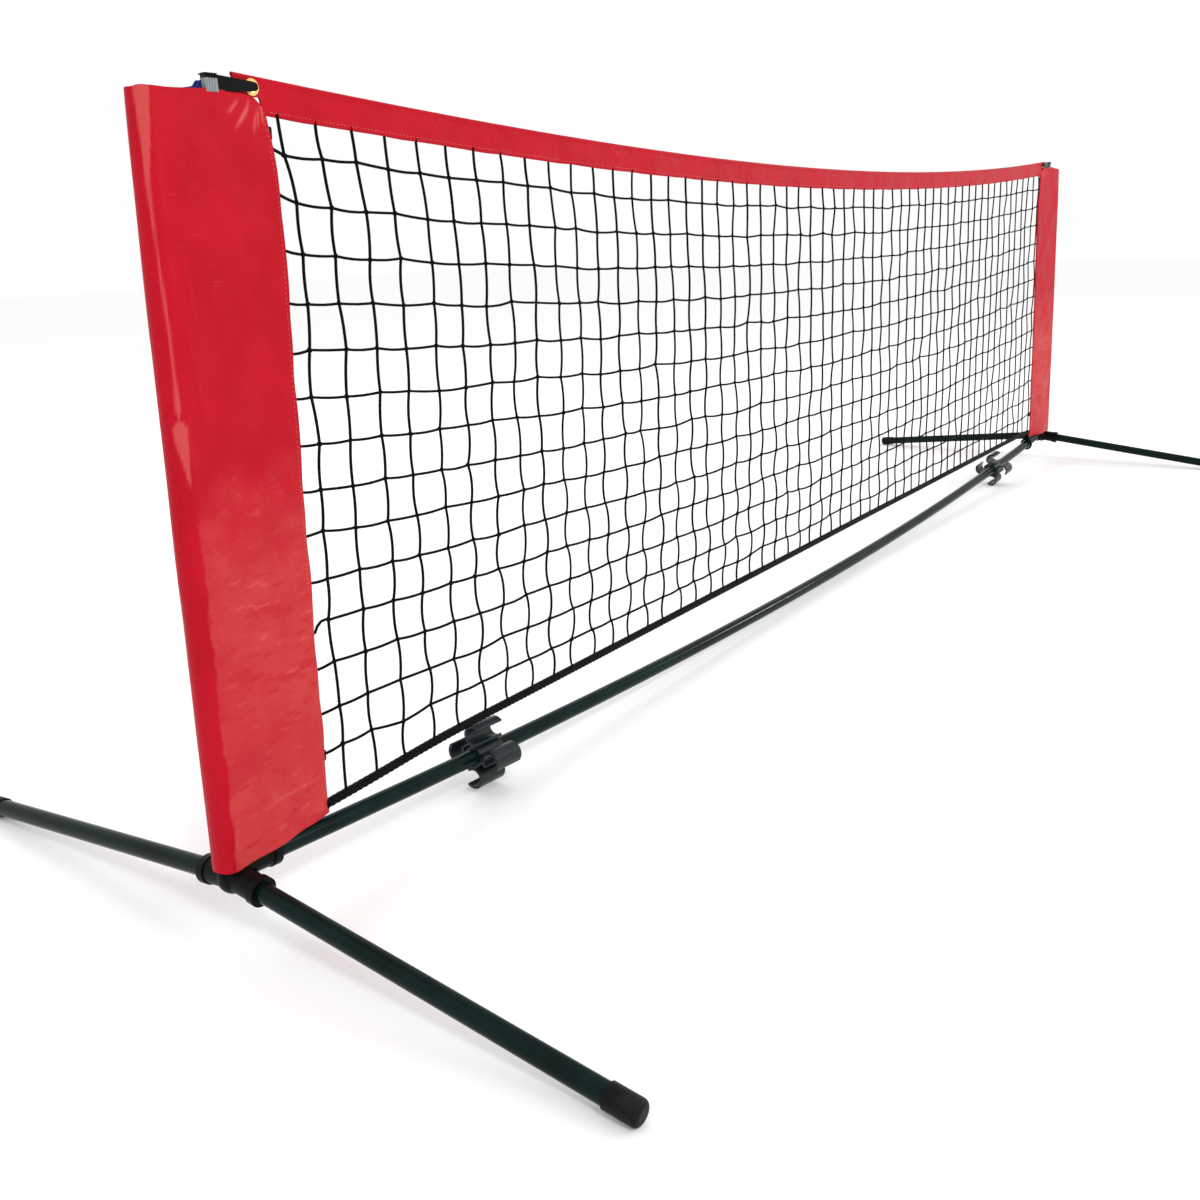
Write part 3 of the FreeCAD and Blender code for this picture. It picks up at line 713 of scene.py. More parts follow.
def upright_paths():
    """Upright strands: each cell's bow holds the cord that the lost height leaves over."""
    paths, marks = [], []
    for i in range(COLUMNS):
        swing = rng.choice((-1, 1))
        path, flag = [KNOTS[0, i]], [0]
        for j in range(ROWS):
            a, b = KNOTS[j, i], KNOTS[j + 1, i]
            gap = np.linalg.norm(b - a)
            spare = LOST[j, i] + abs(rng.normal(0.0, 0.25 * MM))
            bow = math.sqrt(max(spare, 0) * gap / 2.47) * rng.uniform(0.8, 1.1)
            side = swing * (1 if (j + i) % 2 else -1) if spare > 2 * MM else rng.choice((-1, 1))
            steps = 6
            for k in range(1, steps + 1):
                t = k / steps
                lift = math.sin(math.pi * t) * bow
                skew = math.sin(2 * math.pi * t) * bow * 0.22
                point = a + (b - a) * t + np.array([side * lift, 0.35 * side * lift, skew])
                path.append(point)
                flag.append(1 if k == steps and j < ROWS - 1 else 0)
        paths.append(path)
        marks.append(flag)
    return paths, marks


END_LIFT = {1: 5.0, 2: 8.0, 3: 7.0, 4: 1.5}      # mm, at the left sleeve
SLACK_ROW = 11
SLACK_BEND = ((0.2, -9.0), (0.33, -3.0), (0.55, 1.5), (0.8, 2.0), (1.0, 0.0))


def level_paths():
    """Level strands run into the sleeves at both ends and hang a little between knots."""
    paths, marks = [], []
    for j in range(1, ROWS):
        left, right = KNOTS[j, 0].copy(), KNOTS[j, -1].copy()
        for end, way in ((left, -1), (right, 1)):
            end[0] = way * (sleeve_edge(end[2]) + 4 * MM)
            end[1] = 0
            end[2] += rng.normal(0, 1.5 * MM)
        left[2] += END_LIFT.get(j, 0.0) * MM
        chain = [left, *KNOTS[j], right]
        path = [chain[0]]
        for a, b in zip(chain, chain[1:]):
            hang = abs(rng.normal(0.9, 0.5)) * MM
            for k in range(1, 5):
                t = k / 4
                path.append(a + (b - a) * t - np.array([0, 0, hang * math.sin(math.pi * t)]))
        if j == SLACK_ROW:
            first = KNOTS[j, 0]
            start = np.array([left[0], 0, first[2] - 10 * MM])
            reach = first[0] - left[0]
            bend = [np.array([left[0] + reach * t, 0, first[2] + dz * MM]) for t, dz in SLACK_BEND]
            path[:5] = [start, *bend]
        paths.append(path)
        marks.append([0] * len(path))
    return paths, marks


uprights, levels = upright_paths(), level_paths()
strand_lines = strand_mesh(uprights[0] + levels[0], uprights[1] + levels[1])
print("strand points:", len(strand_lines.vertices))


# %% [markdown]
# A geometry node tree now turns the lines into cord.  Curve to Mesh gives every line a round section,
# and a small knot is instanced on each point that carries the knot mark, turned by a seeded random
# rotation so no two look alike.  Realize Instances and Set Material close the tree.

# %% Helpers: geometry node trees
def geometry_tree(name, inputs):
    tree = bpy.data.node_groups.new(name, "GeometryNodeTree")
    tree.interface.new_socket("Geometry", in_out="INPUT", socket_type="NodeSocketGeometry")
    for label, kind, value in inputs:
        socket = tree.interface.new_socket(label, in_out="INPUT", socket_type="NodeSocket" + kind)
        if value is not None:
            socket.default_value = value
    tree.interface.new_socket("Geometry", in_out="OUTPUT", socket_type="NodeSocketGeometry")
    return tree, tree.nodes.new("NodeGroupInput"), tree.nodes.new("NodeGroupOutput")


def run_tree(piece, tree, values):
    """Put a tree on a piece, set its named inputs by identifier, and keep the result as a mesh."""
    modifier = piece.modifiers.new(tree.name, "NODES")
    modifier.node_group = tree
    for item in tree.interface.items_tree:
        if item.in_out == "INPUT" and item.name in values:
            modifier[item.identifier] = values[item.name]
    return bake_modifiers(piece)


def link(tree, *pairs):
    for a, b in pairs:
        tree.links.new(a, b)


def close_tree(tree, source, sink, shape):
    """The end that both trees share: real meshes, smooth shading and the material."""
    real = tree.nodes.new("GeometryNodeRealizeInstances")
    smooth = tree.nodes.new("GeometryNodeSetShadeSmooth")
    paint = tree.nodes.new("GeometryNodeSetMaterial")
    link(tree, (shape, real.inputs["Geometry"]),
         (real.outputs["Geometry"], smooth.inputs["Geometry"]),
         (smooth.outputs["Geometry"], paint.inputs["Geometry"]),
         (source.outputs["Material"], paint.inputs["Material"]),
         (paint.outputs["Geometry"], sink.inputs["Geometry"]))
    return tree


def cord_net_tree():
    tree, source, sink = geometry_tree("cord_net", [
        ("Cord radius", "Float", 1.1 * MM), ("Sides", "Int", 6), ("Knot size", "Float", 2.2 * MM),
        ("Seed", "Int", 4), ("Material", "Material", None)])
    curve = tree.nodes.new("GeometryNodeMeshToCurve")
    profile = tree.nodes.new("GeometryNodeCurvePrimitiveCircle")
    sweep = tree.nodes.new("GeometryNodeCurveToMesh")
    sweep.inputs["Fill Caps"].default_value = True
    mark = add(tree, "GeometryNodeInputNamedAttribute", data_type="FLOAT")
    mark.inputs["Name"].default_value = "knot"
    chosen = add(tree, "FunctionNodeCompare", data_type="FLOAT", operation="GREATER_THAN")
    chosen.inputs["B"].default_value = 0.5
    points = tree.nodes.new("GeometryNodeMeshToPoints")
    knot = tree.nodes.new("GeometryNodeMeshIcoSphere")
    knot.inputs["Subdivisions"].default_value = 2
    turn = add(tree, "FunctionNodeRandomValue", data_type="FLOAT_VECTOR")
    turn.inputs[1].default_value = (6.28, 6.28, 6.28)
    place = tree.nodes.new("GeometryNodeInstanceOnPoints")
    place.inputs["Scale"].default_value = (1.0, 0.8, 1.15)
    join = tree.nodes.new("GeometryNodeJoinGeometry")
    link(tree, (source.outputs["Geometry"], curve.inputs["Mesh"]),
         (source.outputs["Sides"], profile.inputs["Resolution"]),
         (source.outputs["Cord radius"], profile.inputs["Radius"]),
         (curve.outputs["Curve"], sweep.inputs["Curve"]),
         (profile.outputs["Curve"], sweep.inputs["Profile Curve"]),
         (source.outputs["Geometry"], points.inputs["Mesh"]),
         (mark.outputs["Attribute"], chosen.inputs["A"]),
         (chosen.outputs["Result"], points.inputs["Selection"]),
         (source.outputs["Knot size"], knot.inputs["Radius"]),
         (source.outputs["Seed"], turn.inputs["Seed"]),
         (points.outputs["Points"], place.inputs["Points"]),
         (knot.outputs["Mesh"], place.inputs["Instance"]),
         (turn.outputs["Value"], place.inputs["Rotation"]),
         (sweep.outputs["Mesh"], join.inputs["Geometry"]),
         (place.outputs["Instances"], join.inputs["Geometry"]))
    return close_tree(tree, source, sink, join.outputs["Geometry"])


# %% The netting
netting = new_object("netting_mesh", strand_lines)
run_tree(netting, cord_net_tree(), {"Cord radius": 1.75 * MM, "Knot size": 3.0 * MM, "Material": MESH_CORD})
print("netting faces:", len(netting.data.polygons))
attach(netting, "frame")
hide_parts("netting")


# %% [markdown]
# The bottom cord is a laid rope: three strands wound round each other.  Its route is a smooth NURBS
# curve, nearly level under the mesh, that is drawn down a little into the left sleeve and drops at the
# right end to a loop round the bar.  The
# tube follows the points read back from that curve, and its section has three lobes that turn as it
# goes, so the lay of the rope is real shape and not only shading.

# %% Helpers: read a curve's points, and wind a rope along them
def route_points(name, controls, resolution):
    """Points along a smooth curve whose control points are given."""
    data = bpy.data.curves.new(name, "CURVE")
    data.dimensions = "3D"
    spline = data.splines.new("NURBS")
    spline.points.add(len(controls) - 1)
    for point, place in zip(spline.points, controls):
        point.co = (*place, 1)
    spline.order_u = 3
    spline.use_endpoint_u = True
    spline.resolution_u = resolution
    holder = bpy.data.objects.new(name, data)
    mesh = bpy.data.meshes.new_from_object(holder)
    line = np.array([v.co for v in mesh.vertices], float)
    bpy.data.meshes.remove(mesh)
    bpy.data.curves.remove(data)
    return line


def evenly(line, step):
    """The same line with its points a fixed step apart."""
    lengths = np.concatenate([[0], np.cumsum(np.linalg.norm(np.diff(line, axis=0), axis=1))])
    count = max(2, int(lengths[-1] / step) + 1)
    along = np.linspace(0, lengths[-1], count)
    return np.stack([np.interp(along, lengths, line[:, k]) for k in range(3)], axis=1), along


LOBE_DEPTH = 0.06        # share of the rope's radius


def rope_mesh(name, line, along, radius, pitch=15 * MM, lobes=3, sides=18, closed=False):
    """Tube with turning lobes along a line, its ends closed."""
    forward = np.gradient(line, axis=0)
    if closed:
        forward = np.roll(line, -1, axis=0) - np.roll(line, 1, axis=0)
    forward /= np.linalg.norm(forward, axis=1)[:, None]
    side = np.zeros_like(line)
    guess = np.array([0.0, 1.0, 0.0])
    for k, way in enumerate(forward):
        guess = guess - way * guess.dot(way)
        guess /= np.linalg.norm(guess)
        side[k] = guess
    over = np.cross(forward, side)
    angles = np.arange(sides) * 2 * math.pi / sides
    phase = lobes * (angles[None, :] - 2 * math.pi * along[:, None] / pitch)
    reach = radius * (1 - LOBE_DEPTH * (1 - np.cos(phase)))
    rings = (line[:, None, :] + reach[..., None] * (np.cos(angles)[None, :, None] * side[:, None, :]
             + np.sin(angles)[None, :, None] * over[:, None, :]))
    count = len(line)
    vertices = rings.reshape(-1, 3).tolist()
    faces = []
    for r in range(count if closed else count - 1):
        n = (r + 1) % count
        for c in range(sides):
            d = (c + 1) % sides
            faces.append((r * sides + c, r * sides + d, n * sides + d, n * sides + c))
    if not closed:
        faces.append(tuple(range(sides))[::-1])
        faces.append(tuple((count - 1) * sides + c for c in range(sides)))
    mesh = bpy.data.meshes.new(name)
    mesh.from_pydata(vertices, [], faces)
    mesh.polygons.foreach_set("use_smooth", [True] * len(mesh.polygons))
    mesh.update()
    return mesh


# %% The bottom cord and its loop
BAR_R = 11 * MM
SOCKET_X, SOCKET_Z = 1.480, 76 * MM      # where the bar meets a hub
LOOP_X, KNOT_X = 1.372, 1.3715           # the loop round the bar, and the knot above it
LOOP_POINTS = 72
TURN_DOWN = ((1.364, 2.5), (KNOT_X, 13), (KNOT_X, 19))      # place, and drop in mm


def bar_height(x):
    """Height of the bar's axis, from the low and high points of its two long sections."""
    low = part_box("bar_middle")[0].z + BAR_R
    return low + (SOCKET_Z - low) * (x / SOCKET_X) ** 2


cord_start = -(sleeve_edge(CORD_Z) + 3 * MM)
cord_controls = [(cord_start, 0, CORD_Z - 9 * MM)]
cord_controls += [(x, 0, float(cord_height(x))) for x, _ in CORD_RUN[1:]]
cord_controls += [(x, 0, CORD_Z - drop * MM) for x, drop in TURN_DOWN]
cord_line, cord_along = evenly(route_points("cord_route", cord_controls, 40), 1.8 * MM)
bottom_rope = new_object("bottom_rope", rope_mesh("bottom_rope", cord_line, cord_along, CORD_R,
                                                  pitch=26 * MM))
bottom_rope.data.materials.append(EDGE_CORD)
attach(bottom_rope, "frame")
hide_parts("bottom_cord")
print("bottom cord %.3f m" % cord_along[-1], "bar height under its loop", round(bar_height(LOOP_X), 4))


def ring_around(centre, axis_tilt, radius_y, radius_z, count):
    angles = np.linspace(0, 2 * math.pi, count, endpoint=False)
    x = centre[0] + axis_tilt * np.sin(angles)
    return np.stack([x, centre[1] + radius_y * np.sin(angles), centre[2] + radius_z * np.cos(angles)], axis=1)


loop_radius = BAR_R + LASHING_R + 0.3 * MM
loop_line = ring_around((LOOP_X, 0, bar_height(LOOP_X)), 2.2 * MM, loop_radius, loop_radius, LOOP_POINTS)
loop_along = np.arange(LOOP_POINTS) * 15 * MM / 12
rope_loop = new_object("rope_loop", rope_mesh("rope_loop", loop_line, loop_along, LASHING_R, closed=True))
turns = np.linspace(0, 2 * math.pi, 96, endpoint=False)
knot_line = np.stack([KNOT_X + 0.0054 * np.sin(3 * turns),
                      (0.0046 + 0.0022 * np.cos(3 * turns)) * np.cos(2 * turns),
                      cord_line[-1][2] + (0.0046 + 0.0020 * np.cos(3 * turns)) * np.sin(2 * turns)], axis=1)
rope_knot = new_object("rope_knot", rope_mesh("rope_knot", knot_line, turns * 15 * MM / 6.28 * 2,
                                              3.2 * MM, closed=True))
for piece in (rope_loop, rope_knot):
    piece.data.materials.append(EDGE_CORD)
    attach(piece, "frame")
print("loop radius %.1f mm" % (1000 * loop_radius))

# %% [markdown]
# The headband is one long strip folded over a cable and stitched together under it.  It is built the
# same way: a single layer whose section runs up the front, round a small roll and down the back,
# swept along the sag.  The cloth then gets its thickness from Solidify.  Near each end the strip
# narrows to a tab, where the brass ring sits in a punched hole.

# %% The headband
ROLL = 2.1 * MM
LAYER_GAP = 0.95 * MM
TAB_X = EDGE
EYE_LOW, EYE_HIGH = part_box("eyelet_right")
EYE = (EYE_LOW + EYE_HIGH) / 2
EYE_HOLE = 6.6 * MM
TAB_BOTTOM = 886.8 * MM


def band_columns():
    """Places along the band: close together at the tabs, where the hole is, and wide between."""
    tab = np.arange(TAB_X - 12 * MM, BAND_END + 0.01 * MM, 1.0 * MM)
    middle = np.linspace(-(TAB_X - 12 * MM), TAB_X - 12 * MM, 520)[1:-1]
    return np.concatenate([-tab[::-1], middle, tab])


def band_section():
    """Height share and depth of the folded strip, from the front hem round the roll to the back hem."""
    up = np.linspace(0, 1, 15)[:-1]
    roll = np.linspace(0, math.pi, 9)
    share = np.concatenate([up * 0.93, [0.93] * 9, up[::-1] * 0.93])
    depth = np.concatenate([[-LAYER_GAP] * 14, -np.cos(roll) * ROLL, [LAYER_GAP] * 14])
    rise = np.concatenate([[0] * 14, np.sin(roll) * ROLL, [0] * 14])
    swell = np.clip((share - 0.82) / 0.11, 0, 1)
    depth = np.where(rise == 0, np.sign(depth) * (LAYER_GAP + (ROLL - LAYER_GAP) * swell ** 2), depth)
    return share, depth, rise


def band_mesh():
    x = band_columns()
    share, depth, rise = band_section()
    points = np.zeros((len(x), len(share), 3))
    uv = np.zeros((len(x), len(share), 2))
    narrow = np.clip((np.abs(x) - (TAB_X + 3 * MM)) / (5 * MM), 0, 1)
    narrow = narrow * narrow * (3 - 2 * narrow)
    top = band_top(x)
    low = band_bottom(x) * (1 - narrow) + TAB_BOTTOM * narrow
    ripple = 0.9 * MM * smooth_noise(x, 21, 21.0) + 0.5 * MM * smooth_noise(x, 22, 64.0)
    hem = 0.45 * MM * smooth_noise(x, 23, 47.0)
    for k, (part, y, up) in enumerate(zip(share, depth, rise)):
        wave = ripple * (1 - part) ** 0.7
        points[:, k, 0] = x
        points[:, k, 1] = y + wave * (1 - 0.8 * narrow)
        points[:, k, 2] = low + (top - ROLL - low) * part / 0.93 + up + hem * (1 - part) * (1 - narrow)
        uv[:, k, 0] = x
        uv[:, k, 1] = (part if k <= len(share) // 2 else 2 - part) * BAND_HEIGHT
    return grid_mesh("headband_cloth", points, uv)


def punch(piece, centres, radius):
    """Take out the faces inside a round hole through both layers, under the brass ring."""
    sheet = bmesh.new()
    sheet.from_mesh(piece.data)
    inside = [f for f in sheet.faces
              if any((f.calc_center_median().xz - Vector((c.x, c.z))).length < radius for c in centres)]
    bmesh.ops.delete(sheet, geom=inside, context="FACES")
    sheet.to_mesh(piece.data)
    sheet.free()


headband = new_object("headband_cloth", band_mesh())
punch(headband, [EYE, Vector((-EYE.x, EYE.y, EYE.z))], EYE_HOLE)
headband.data.materials.append(RED_CLOTH)
thicken(headband, 0.8 * MM)
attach(headband, "frame")
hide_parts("headband")
print("headband faces:", len(headband.data.polygons))

# %% [markdown]
# Each sleeve is a flat bag pulled over a post: round where the post fills it, then two panels that come
# together at the inner edge.  The net pulls on that edge, so the cloth is drawn in near the top, puckers
# under the eyelet and falls into slanting creases lower down.  The bag is a closed loop of points per
# height, and each crease pushes the points along the cloth's own outward direction.

# %% The plan outline of a sleeve
POST_TOP_X = post_low.x + 11 * MM
POST_FOOT_X = post_high.x - 11 * MM
SLACK = 4.5 * MM
HEM_Z = sleeve_low.z + 0.4 * MM
RIM_Z = sleeve_high.z - 0.4 * MM
ACROSS = 64              # points on each panel, and round the post
ROUND = 30
FOLD_R = 1.6 * MM        # roundness of the inner edge
PANEL = 0.145            # width of a panel, flat
HUB_X = 1.486            # the hub's top swells the foot of the sleeve here
HUB_HALF, FOOT_HALF = 17.4, 12.4      # mm, half the sleeve's thickness over the hub, and beside it


def sleeve_ring(z):
    """Closed plan outline at one height, with the outward direction and the share from the net's side."""
    t = (z - HEM_Z) / (RIM_Z - HEM_Z)
    inner = sleeve_edge(z) + FOLD_R
    tight = math.exp(-(RIM_Z - z) / 0.16)
    centre = POST_FOOT_X + (POST_TOP_X - POST_FOOT_X) * t + SLACK * (1 - 0.85 * tight)
    post_r = (17.6 + (15.2 - 17.6) * t - 1.1 * tight) * MM
    edge_r = FOLD_R
    swell = (HUB_HALF - FOOT_HALF) * MM * math.exp(-(z - HEM_Z) / 0.035)
    turn = math.asin((post_r - edge_r) / (centre - inner))
    front = np.linspace(0, 1, ACROSS) ** 1.35
    panel_x = inner - edge_r * math.sin(turn) + (centre - post_r * math.sin(turn) - inner + edge_r
                                                   * math.sin(turn)) * front
    panel_y = edge_r * math.cos(turn) + (post_r - edge_r) * math.cos(turn) * front
    bulge = swell * np.exp(-((panel_x - HUB_X) / 0.030) ** 2)
    panel_y = np.maximum(panel_y, 0) + np.minimum(bulge, HUB_HALF * MM)
    angles = np.linspace(math.pi / 2 + turn, -math.pi / 2 - turn, ROUND)[1:-1]
    round_x = centre + post_r * np.cos(angles)
    round_y = -post_r * np.sin(angles)
    inner_x = inner - edge_r * np.array([0.75, 1.0, 0.75])
    inner_y = edge_r * np.array([0.66, 0.0, -0.66])
    x = np.concatenate([panel_x, round_x, panel_x[::-1], inner_x])
    y = np.concatenate([-panel_y, round_y, panel_y[::-1], inner_y])
    share = np.concatenate([front, np.ones(ROUND - 2), front[::-1], np.zeros(3)])
    face = np.concatenate([np.full(ACROSS, -1.0), -np.sin(angles), np.full(ACROSS, 1.0), np.zeros(3)])
    return x, y, share, face


print("points round a sleeve:", 2 * ACROSS + ROUND + 1)


# %% Creases of a sleeve
def crease_axes(share, z, place, height, angle):
    """How far along a crease's line, and how far off it, the points of a panel lie."""
    dx, dz = share * PANEL - place * PANEL, z - height
    slope = math.radians(angle)
    along = dx * math.cos(slope) + dz * math.sin(slope)
    return along, -dx * math.sin(slope) + dz * math.cos(slope)


def crease_field(share, z, seed, hand_made):
    """Height of the cloth's creases at (share across, height z), in metres."""
    noise = np.random.default_rng(seed)
    across = share * PANEL
    total = 0.8 * MM * smooth_noise(across + z * 0.45, seed + 1, 34.0)
    total = total + 0.6 * MM * smooth_noise(across * 0.9 - z * 0.6, seed + 2, 47.0)
    lines = list(hand_made)
    for _ in range(16):
        lines.append((noise.uniform(0.15, 0.95), noise.uniform(0.10, 0.55), noise.uniform(20, 62),
                      noise.uniform(0.02, 0.055), noise.uniform(2.2, 4.5), noise.uniform(-1.1, 1.1)))
    for _ in range(7):
        lines.append((noise.uniform(0.2, 0.9), noise.uniform(0.55, 0.84), noise.uniform(60, 88),
                      noise.uniform(0.03, 0.08), noise.uniform(2.5, 5.0), noise.uniform(-0.5, 0.5)))
    for place, height, angle, length, width, depth in lines:
        along, off = crease_axes(share, z, place, height, angle)
        off = off + 0.06 * along * np.sin(along * 90)
        total = total + depth * MM * np.exp(-(off / (width * MM)) ** 2 - (along / length) ** 2)
    return total


# place across, height, angle in degrees, length, width in mm, depth in mm
PUCKERS = [(0.04 + 0.045 * k, 0.872 - 0.006 * (k % 3), 98 + 7 * k, 0.016, 1.7, 1.15 * (-1) ** k)
           for k in range(7)]
FRONT_CREASES = PUCKERS + [(0.80, 0.40, 58, 0.040, 3.0, 1.5), (0.55, 0.30, 30, 0.045, 4.0, -1.2),
                           (0.35, 0.24, 24, 0.030, 3.0, 1.1), (0.62, 0.36, 33, 0.038, 3.0, 1.2),
                           (0.90, 0.62, 83, 0.060, 3.5, 1.2), (0.88, 0.70, 86, 0.045, 2.5, 1.0),
                           (0.14, 0.43, 68, 0.035, 3.0, 1.2), (0.10, 0.20, 70, 0.060, 3.0, -1.0),
                           (0.12, 0.50, 75, 0.020, 3.0, 1.0), (0.20, 0.15, 82, 0.05, 3.5, 1.1)]
print("creases laid by hand on the left sleeve:", len(FRONT_CREASES))


# %% The painted highlight over the post and the painted glints on the puckers, and the rim's own line
# height, place beyond the front panel in mm, and half width in mm
HIGHLIGHT_Z = [0.505, 0.515, 0.53, 0.549, 0.568, 0.574, 0.585, 0.62, 0.667, 0.74, 0.80, 0.84, 0.886]
HIGHLIGHT_AT = [6, 6, 7, 8.5, 9, 9, 9, 9, 9, 11, 12, 10, 9.5]
HIGHLIGHT_HALF = [0, 2.2, 3.5, 6.5, 8.0, 0.8, 3.0, 2.0, 2.0, 1.3, 2.4, 5.0, 8.0]
# share across a panel, and how far the rim rises there in mm
RIM_SHARE = [0, 0.08, 0.2, 0.5, 0.8, 1.0]
RIM_RISE = [0, 5.5, 6.5, 6.0, 2.8, 0.6]


def painted_highlight_mask(beyond, share, z, front):
    """How strongly the highlight down the post and the glints on the puckers are painted, from the distance
    beyond the front panel and the height.
    """
    half = np.interp(z, HIGHLIGHT_Z, HIGHLIGHT_HALF, left=0.0)
    at = np.interp(z, HIGHLIGHT_Z, HIGHLIGHT_AT)
    mask = np.clip((half - np.abs(beyond / MM - at)) / 1.2, 0, 1) * 0.48
    # painted glints along the puckers under the eyelet
    for place, height, angle, length, _, _ in PUCKERS:
        along, off = crease_axes(share, z, place, height, angle)
        mask = mask + 0.6 * np.exp(-(off / (1.3 * MM)) ** 2 - (along / (0.6 * length)) ** 4)
    return np.where(front, np.clip(mask, 0, 0.8), 0.0)


# the painted highlight over the post starts at this height
print("rub over the post from %.3f m up" % HIGHLIGHT_Z[0])


# %% The two sleeves
def sleeve_mesh(name, side, seed, hand_made):
    heights = np.concatenate([[HEM_Z, HEM_Z + 1.5 * MM], np.linspace(HEM_Z + 4 * MM, RIM_Z - 50 * MM, 170),
                              np.linspace(RIM_Z - 48 * MM, RIM_Z, 32)])
    rings, uvs, painted_streaks = [], [], []
    for z in heights:
        x, y, share, face = sleeve_ring(z)
        near_hem = math.exp(-(z - HEM_Z) / 0.012) + math.exp(-(RIM_Z - z) / 0.010)
        front = crease_field(share, z, seed, hand_made)
        back = crease_field(share, z, seed + 50, PUCKERS)
        push = np.where(face <= 0, front, back)
        room = np.minimum(1.0, 0.25 + 2.2 * share) * (1 - 0.55 * min(1, near_hem))
        gap = np.where(share >= 1, 0.35, 1.0)
        push = push * room * gap
        outward = np.where(np.abs(face) > 0.999, np.sign(face), face)
        push = np.where(share < 0.999, push, np.clip(push, -0.2 * MM, 0.6 * MM))
        y = y + outward * push
        x = x + np.where(share >= 1, np.sqrt(np.clip(1 - face ** 2, 0, 1)) * push, 0)
        edge_wobble = 1.3 * MM * smooth_noise(np.array([z]), seed + 9, 38.0)[0]
        x = x + edge_wobble * (1 - share) ** 3
        lift = 1.2 * MM * smooth_noise(share * 3.0 + face, seed + 4, 2.6)
        hang = lift * (math.exp(-(z - HEM_Z) / 0.03) - math.exp(-(RIM_Z - z) / 0.03))
        droop = -6.5 * MM * (1 - share) ** 2.4 * math.exp(-(RIM_Z - z) / 0.045)
        x = x + 3.0 * MM * (1 - share) ** 8 * math.exp(-(RIM_Z - z) / 0.008)
        rise = np.interp(share, RIM_SHARE, RIM_RISE) * MM * math.exp(-(RIM_Z - z) / 0.05)
        rings.append(np.stack([side * x, y, z + hang + droop + rise], axis=1))
        ring = np.stack([x, y], axis=1)
        around = np.concatenate([[0], np.cumsum(np.linalg.norm(np.diff(ring, axis=0), axis=1))])
        uvs.append(np.stack([around, np.full(len(around), z)], axis=1))
        painted_streaks.append(painted_highlight_mask(around - around[ACROSS - 1], share, z, face < 0.6))
    points = np.array(rings)
    mesh = grid_mesh(name, points[:, ::side], np.array(uvs)[:, ::side], closed=True)
    # the painted highlight and glints, kept as a point attribute
    layer = mesh.attributes.new("rub_and_painted_highlight", "FLOAT", "POINT")
    layer.data.foreach_set("value", np.array(painted_streaks)[:, ::side].ravel())
    return mesh


for side_name, side, seed in (("left", -1, 100), ("right", 1, 300)):
    name = "sleeve_cloth_" + side_name
    sleeve = new_object(name, sleeve_mesh(name, side, seed, FRONT_CREASES if side < 0 else PUCKERS))
    sleeve.data.materials.append(SLEEVE_CLOTH)
    thicken(sleeve, 1.0 * MM)
    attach(sleeve, "frame")
    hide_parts("sleeve_" + side_name)
    print(name, "faces:", len(sleeve.data.polygons))

# %% [markdown]
# A loop of blue webbing runs from each hook round the top of the post.  Flat webbing is modelled as a
# strip that follows a belt path round two circles, narrow at the hook and full width at the post, with
# its edges left a little wavy because nothing pulls them tight.

# %% The webbing straps
STRAP_LOW, STRAP_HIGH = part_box("strap_right")
STRAP_WIDTH, STRAP_ROWS = 0.02, 9
STRAP_BEHIND = (12.95 - 0.05) * MM       # from the post's axis to the strap's far face
POST_TURN_R, HOOK_TURN_R = 12.2 * MM, 2.3 * MM
HOOK_X = 1.465                           # where the strap has gone narrow


def belt_path(post_x, post_r, bar_x, bar_y, bar_r, step):
    """Closed plan path round two circles, joined by their outer tangents."""
    heading = math.atan2(bar_y, bar_x - post_x)
    spread = math.acos((post_r - bar_r) / math.hypot(bar_x - post_x, bar_y))
    path = [(post_x + post_r * math.cos(a), post_r * math.sin(a))
            for a in np.linspace(heading + spread, heading - spread + 2 * math.pi, 30)]
    path += [(bar_x + bar_r * math.cos(a), bar_y + bar_r * math.sin(a))
             for a in np.linspace(heading - spread, heading + spread, 12)]
    path = np.array([(x, y, 0.0) for x, y in path + path[:1]])
    line, along = evenly(path, step)
    return line[:-1], along[:-1]


def strap_mesh(name, side, seed):
    post_x = STRAP_HIGH.x - STRAP_BEHIND
    bar_x, bar_y = STRAP_LOW.x + 3.05 * MM, 2.9 * MM
    line, along = belt_path(post_x, POST_TURN_R, bar_x, bar_y, HOOK_TURN_R, 2.0 * MM)
    toward_hook = np.clip((post_x - 14 * MM - line[:, 0]) / (post_x - 14 * MM - HOOK_X), 0, 1)
    run = [0, 0.35, 0.75, 0.92, 1]
    low = STRAP_LOW.z + np.interp(toward_hook, run, [0, 6.5, 16.5, 23.0, 27.6]) * MM
    high = STRAP_LOW.z + np.interp(toward_hook, run, [20, 25, 29.5, 31.5, 37.0]) * MM
    wave = 1.1 * MM * np.sin(along * 2 * math.pi / 0.034 + seed) * (1 - toward_hook) * 0.8
    sway = 0.5 * MM * np.sin(along * 2 * math.pi / 0.027 + 2 * seed)
    rows = []
    for share in np.linspace(0, 1, STRAP_ROWS):
        z = low + (high - low) * share + wave * share
        edge = (abs(share - 0.5) * 2) ** 6
        rows.append(np.stack([side * line[:, 0], line[:, 1] + sway * (toward_hook * (1 - toward_hook)) * 3
                              * (1 - 0.3 * edge), z], axis=1))
    points = np.array(rows)
    uv = np.stack([np.tile(along, (STRAP_ROWS, 1)),
                   np.tile(np.linspace(0, STRAP_WIDTH, STRAP_ROWS)[:, None], (1, len(along)))], axis=2)
    return grid_mesh(name, points[:, ::side], uv[:, ::side], closed=True)


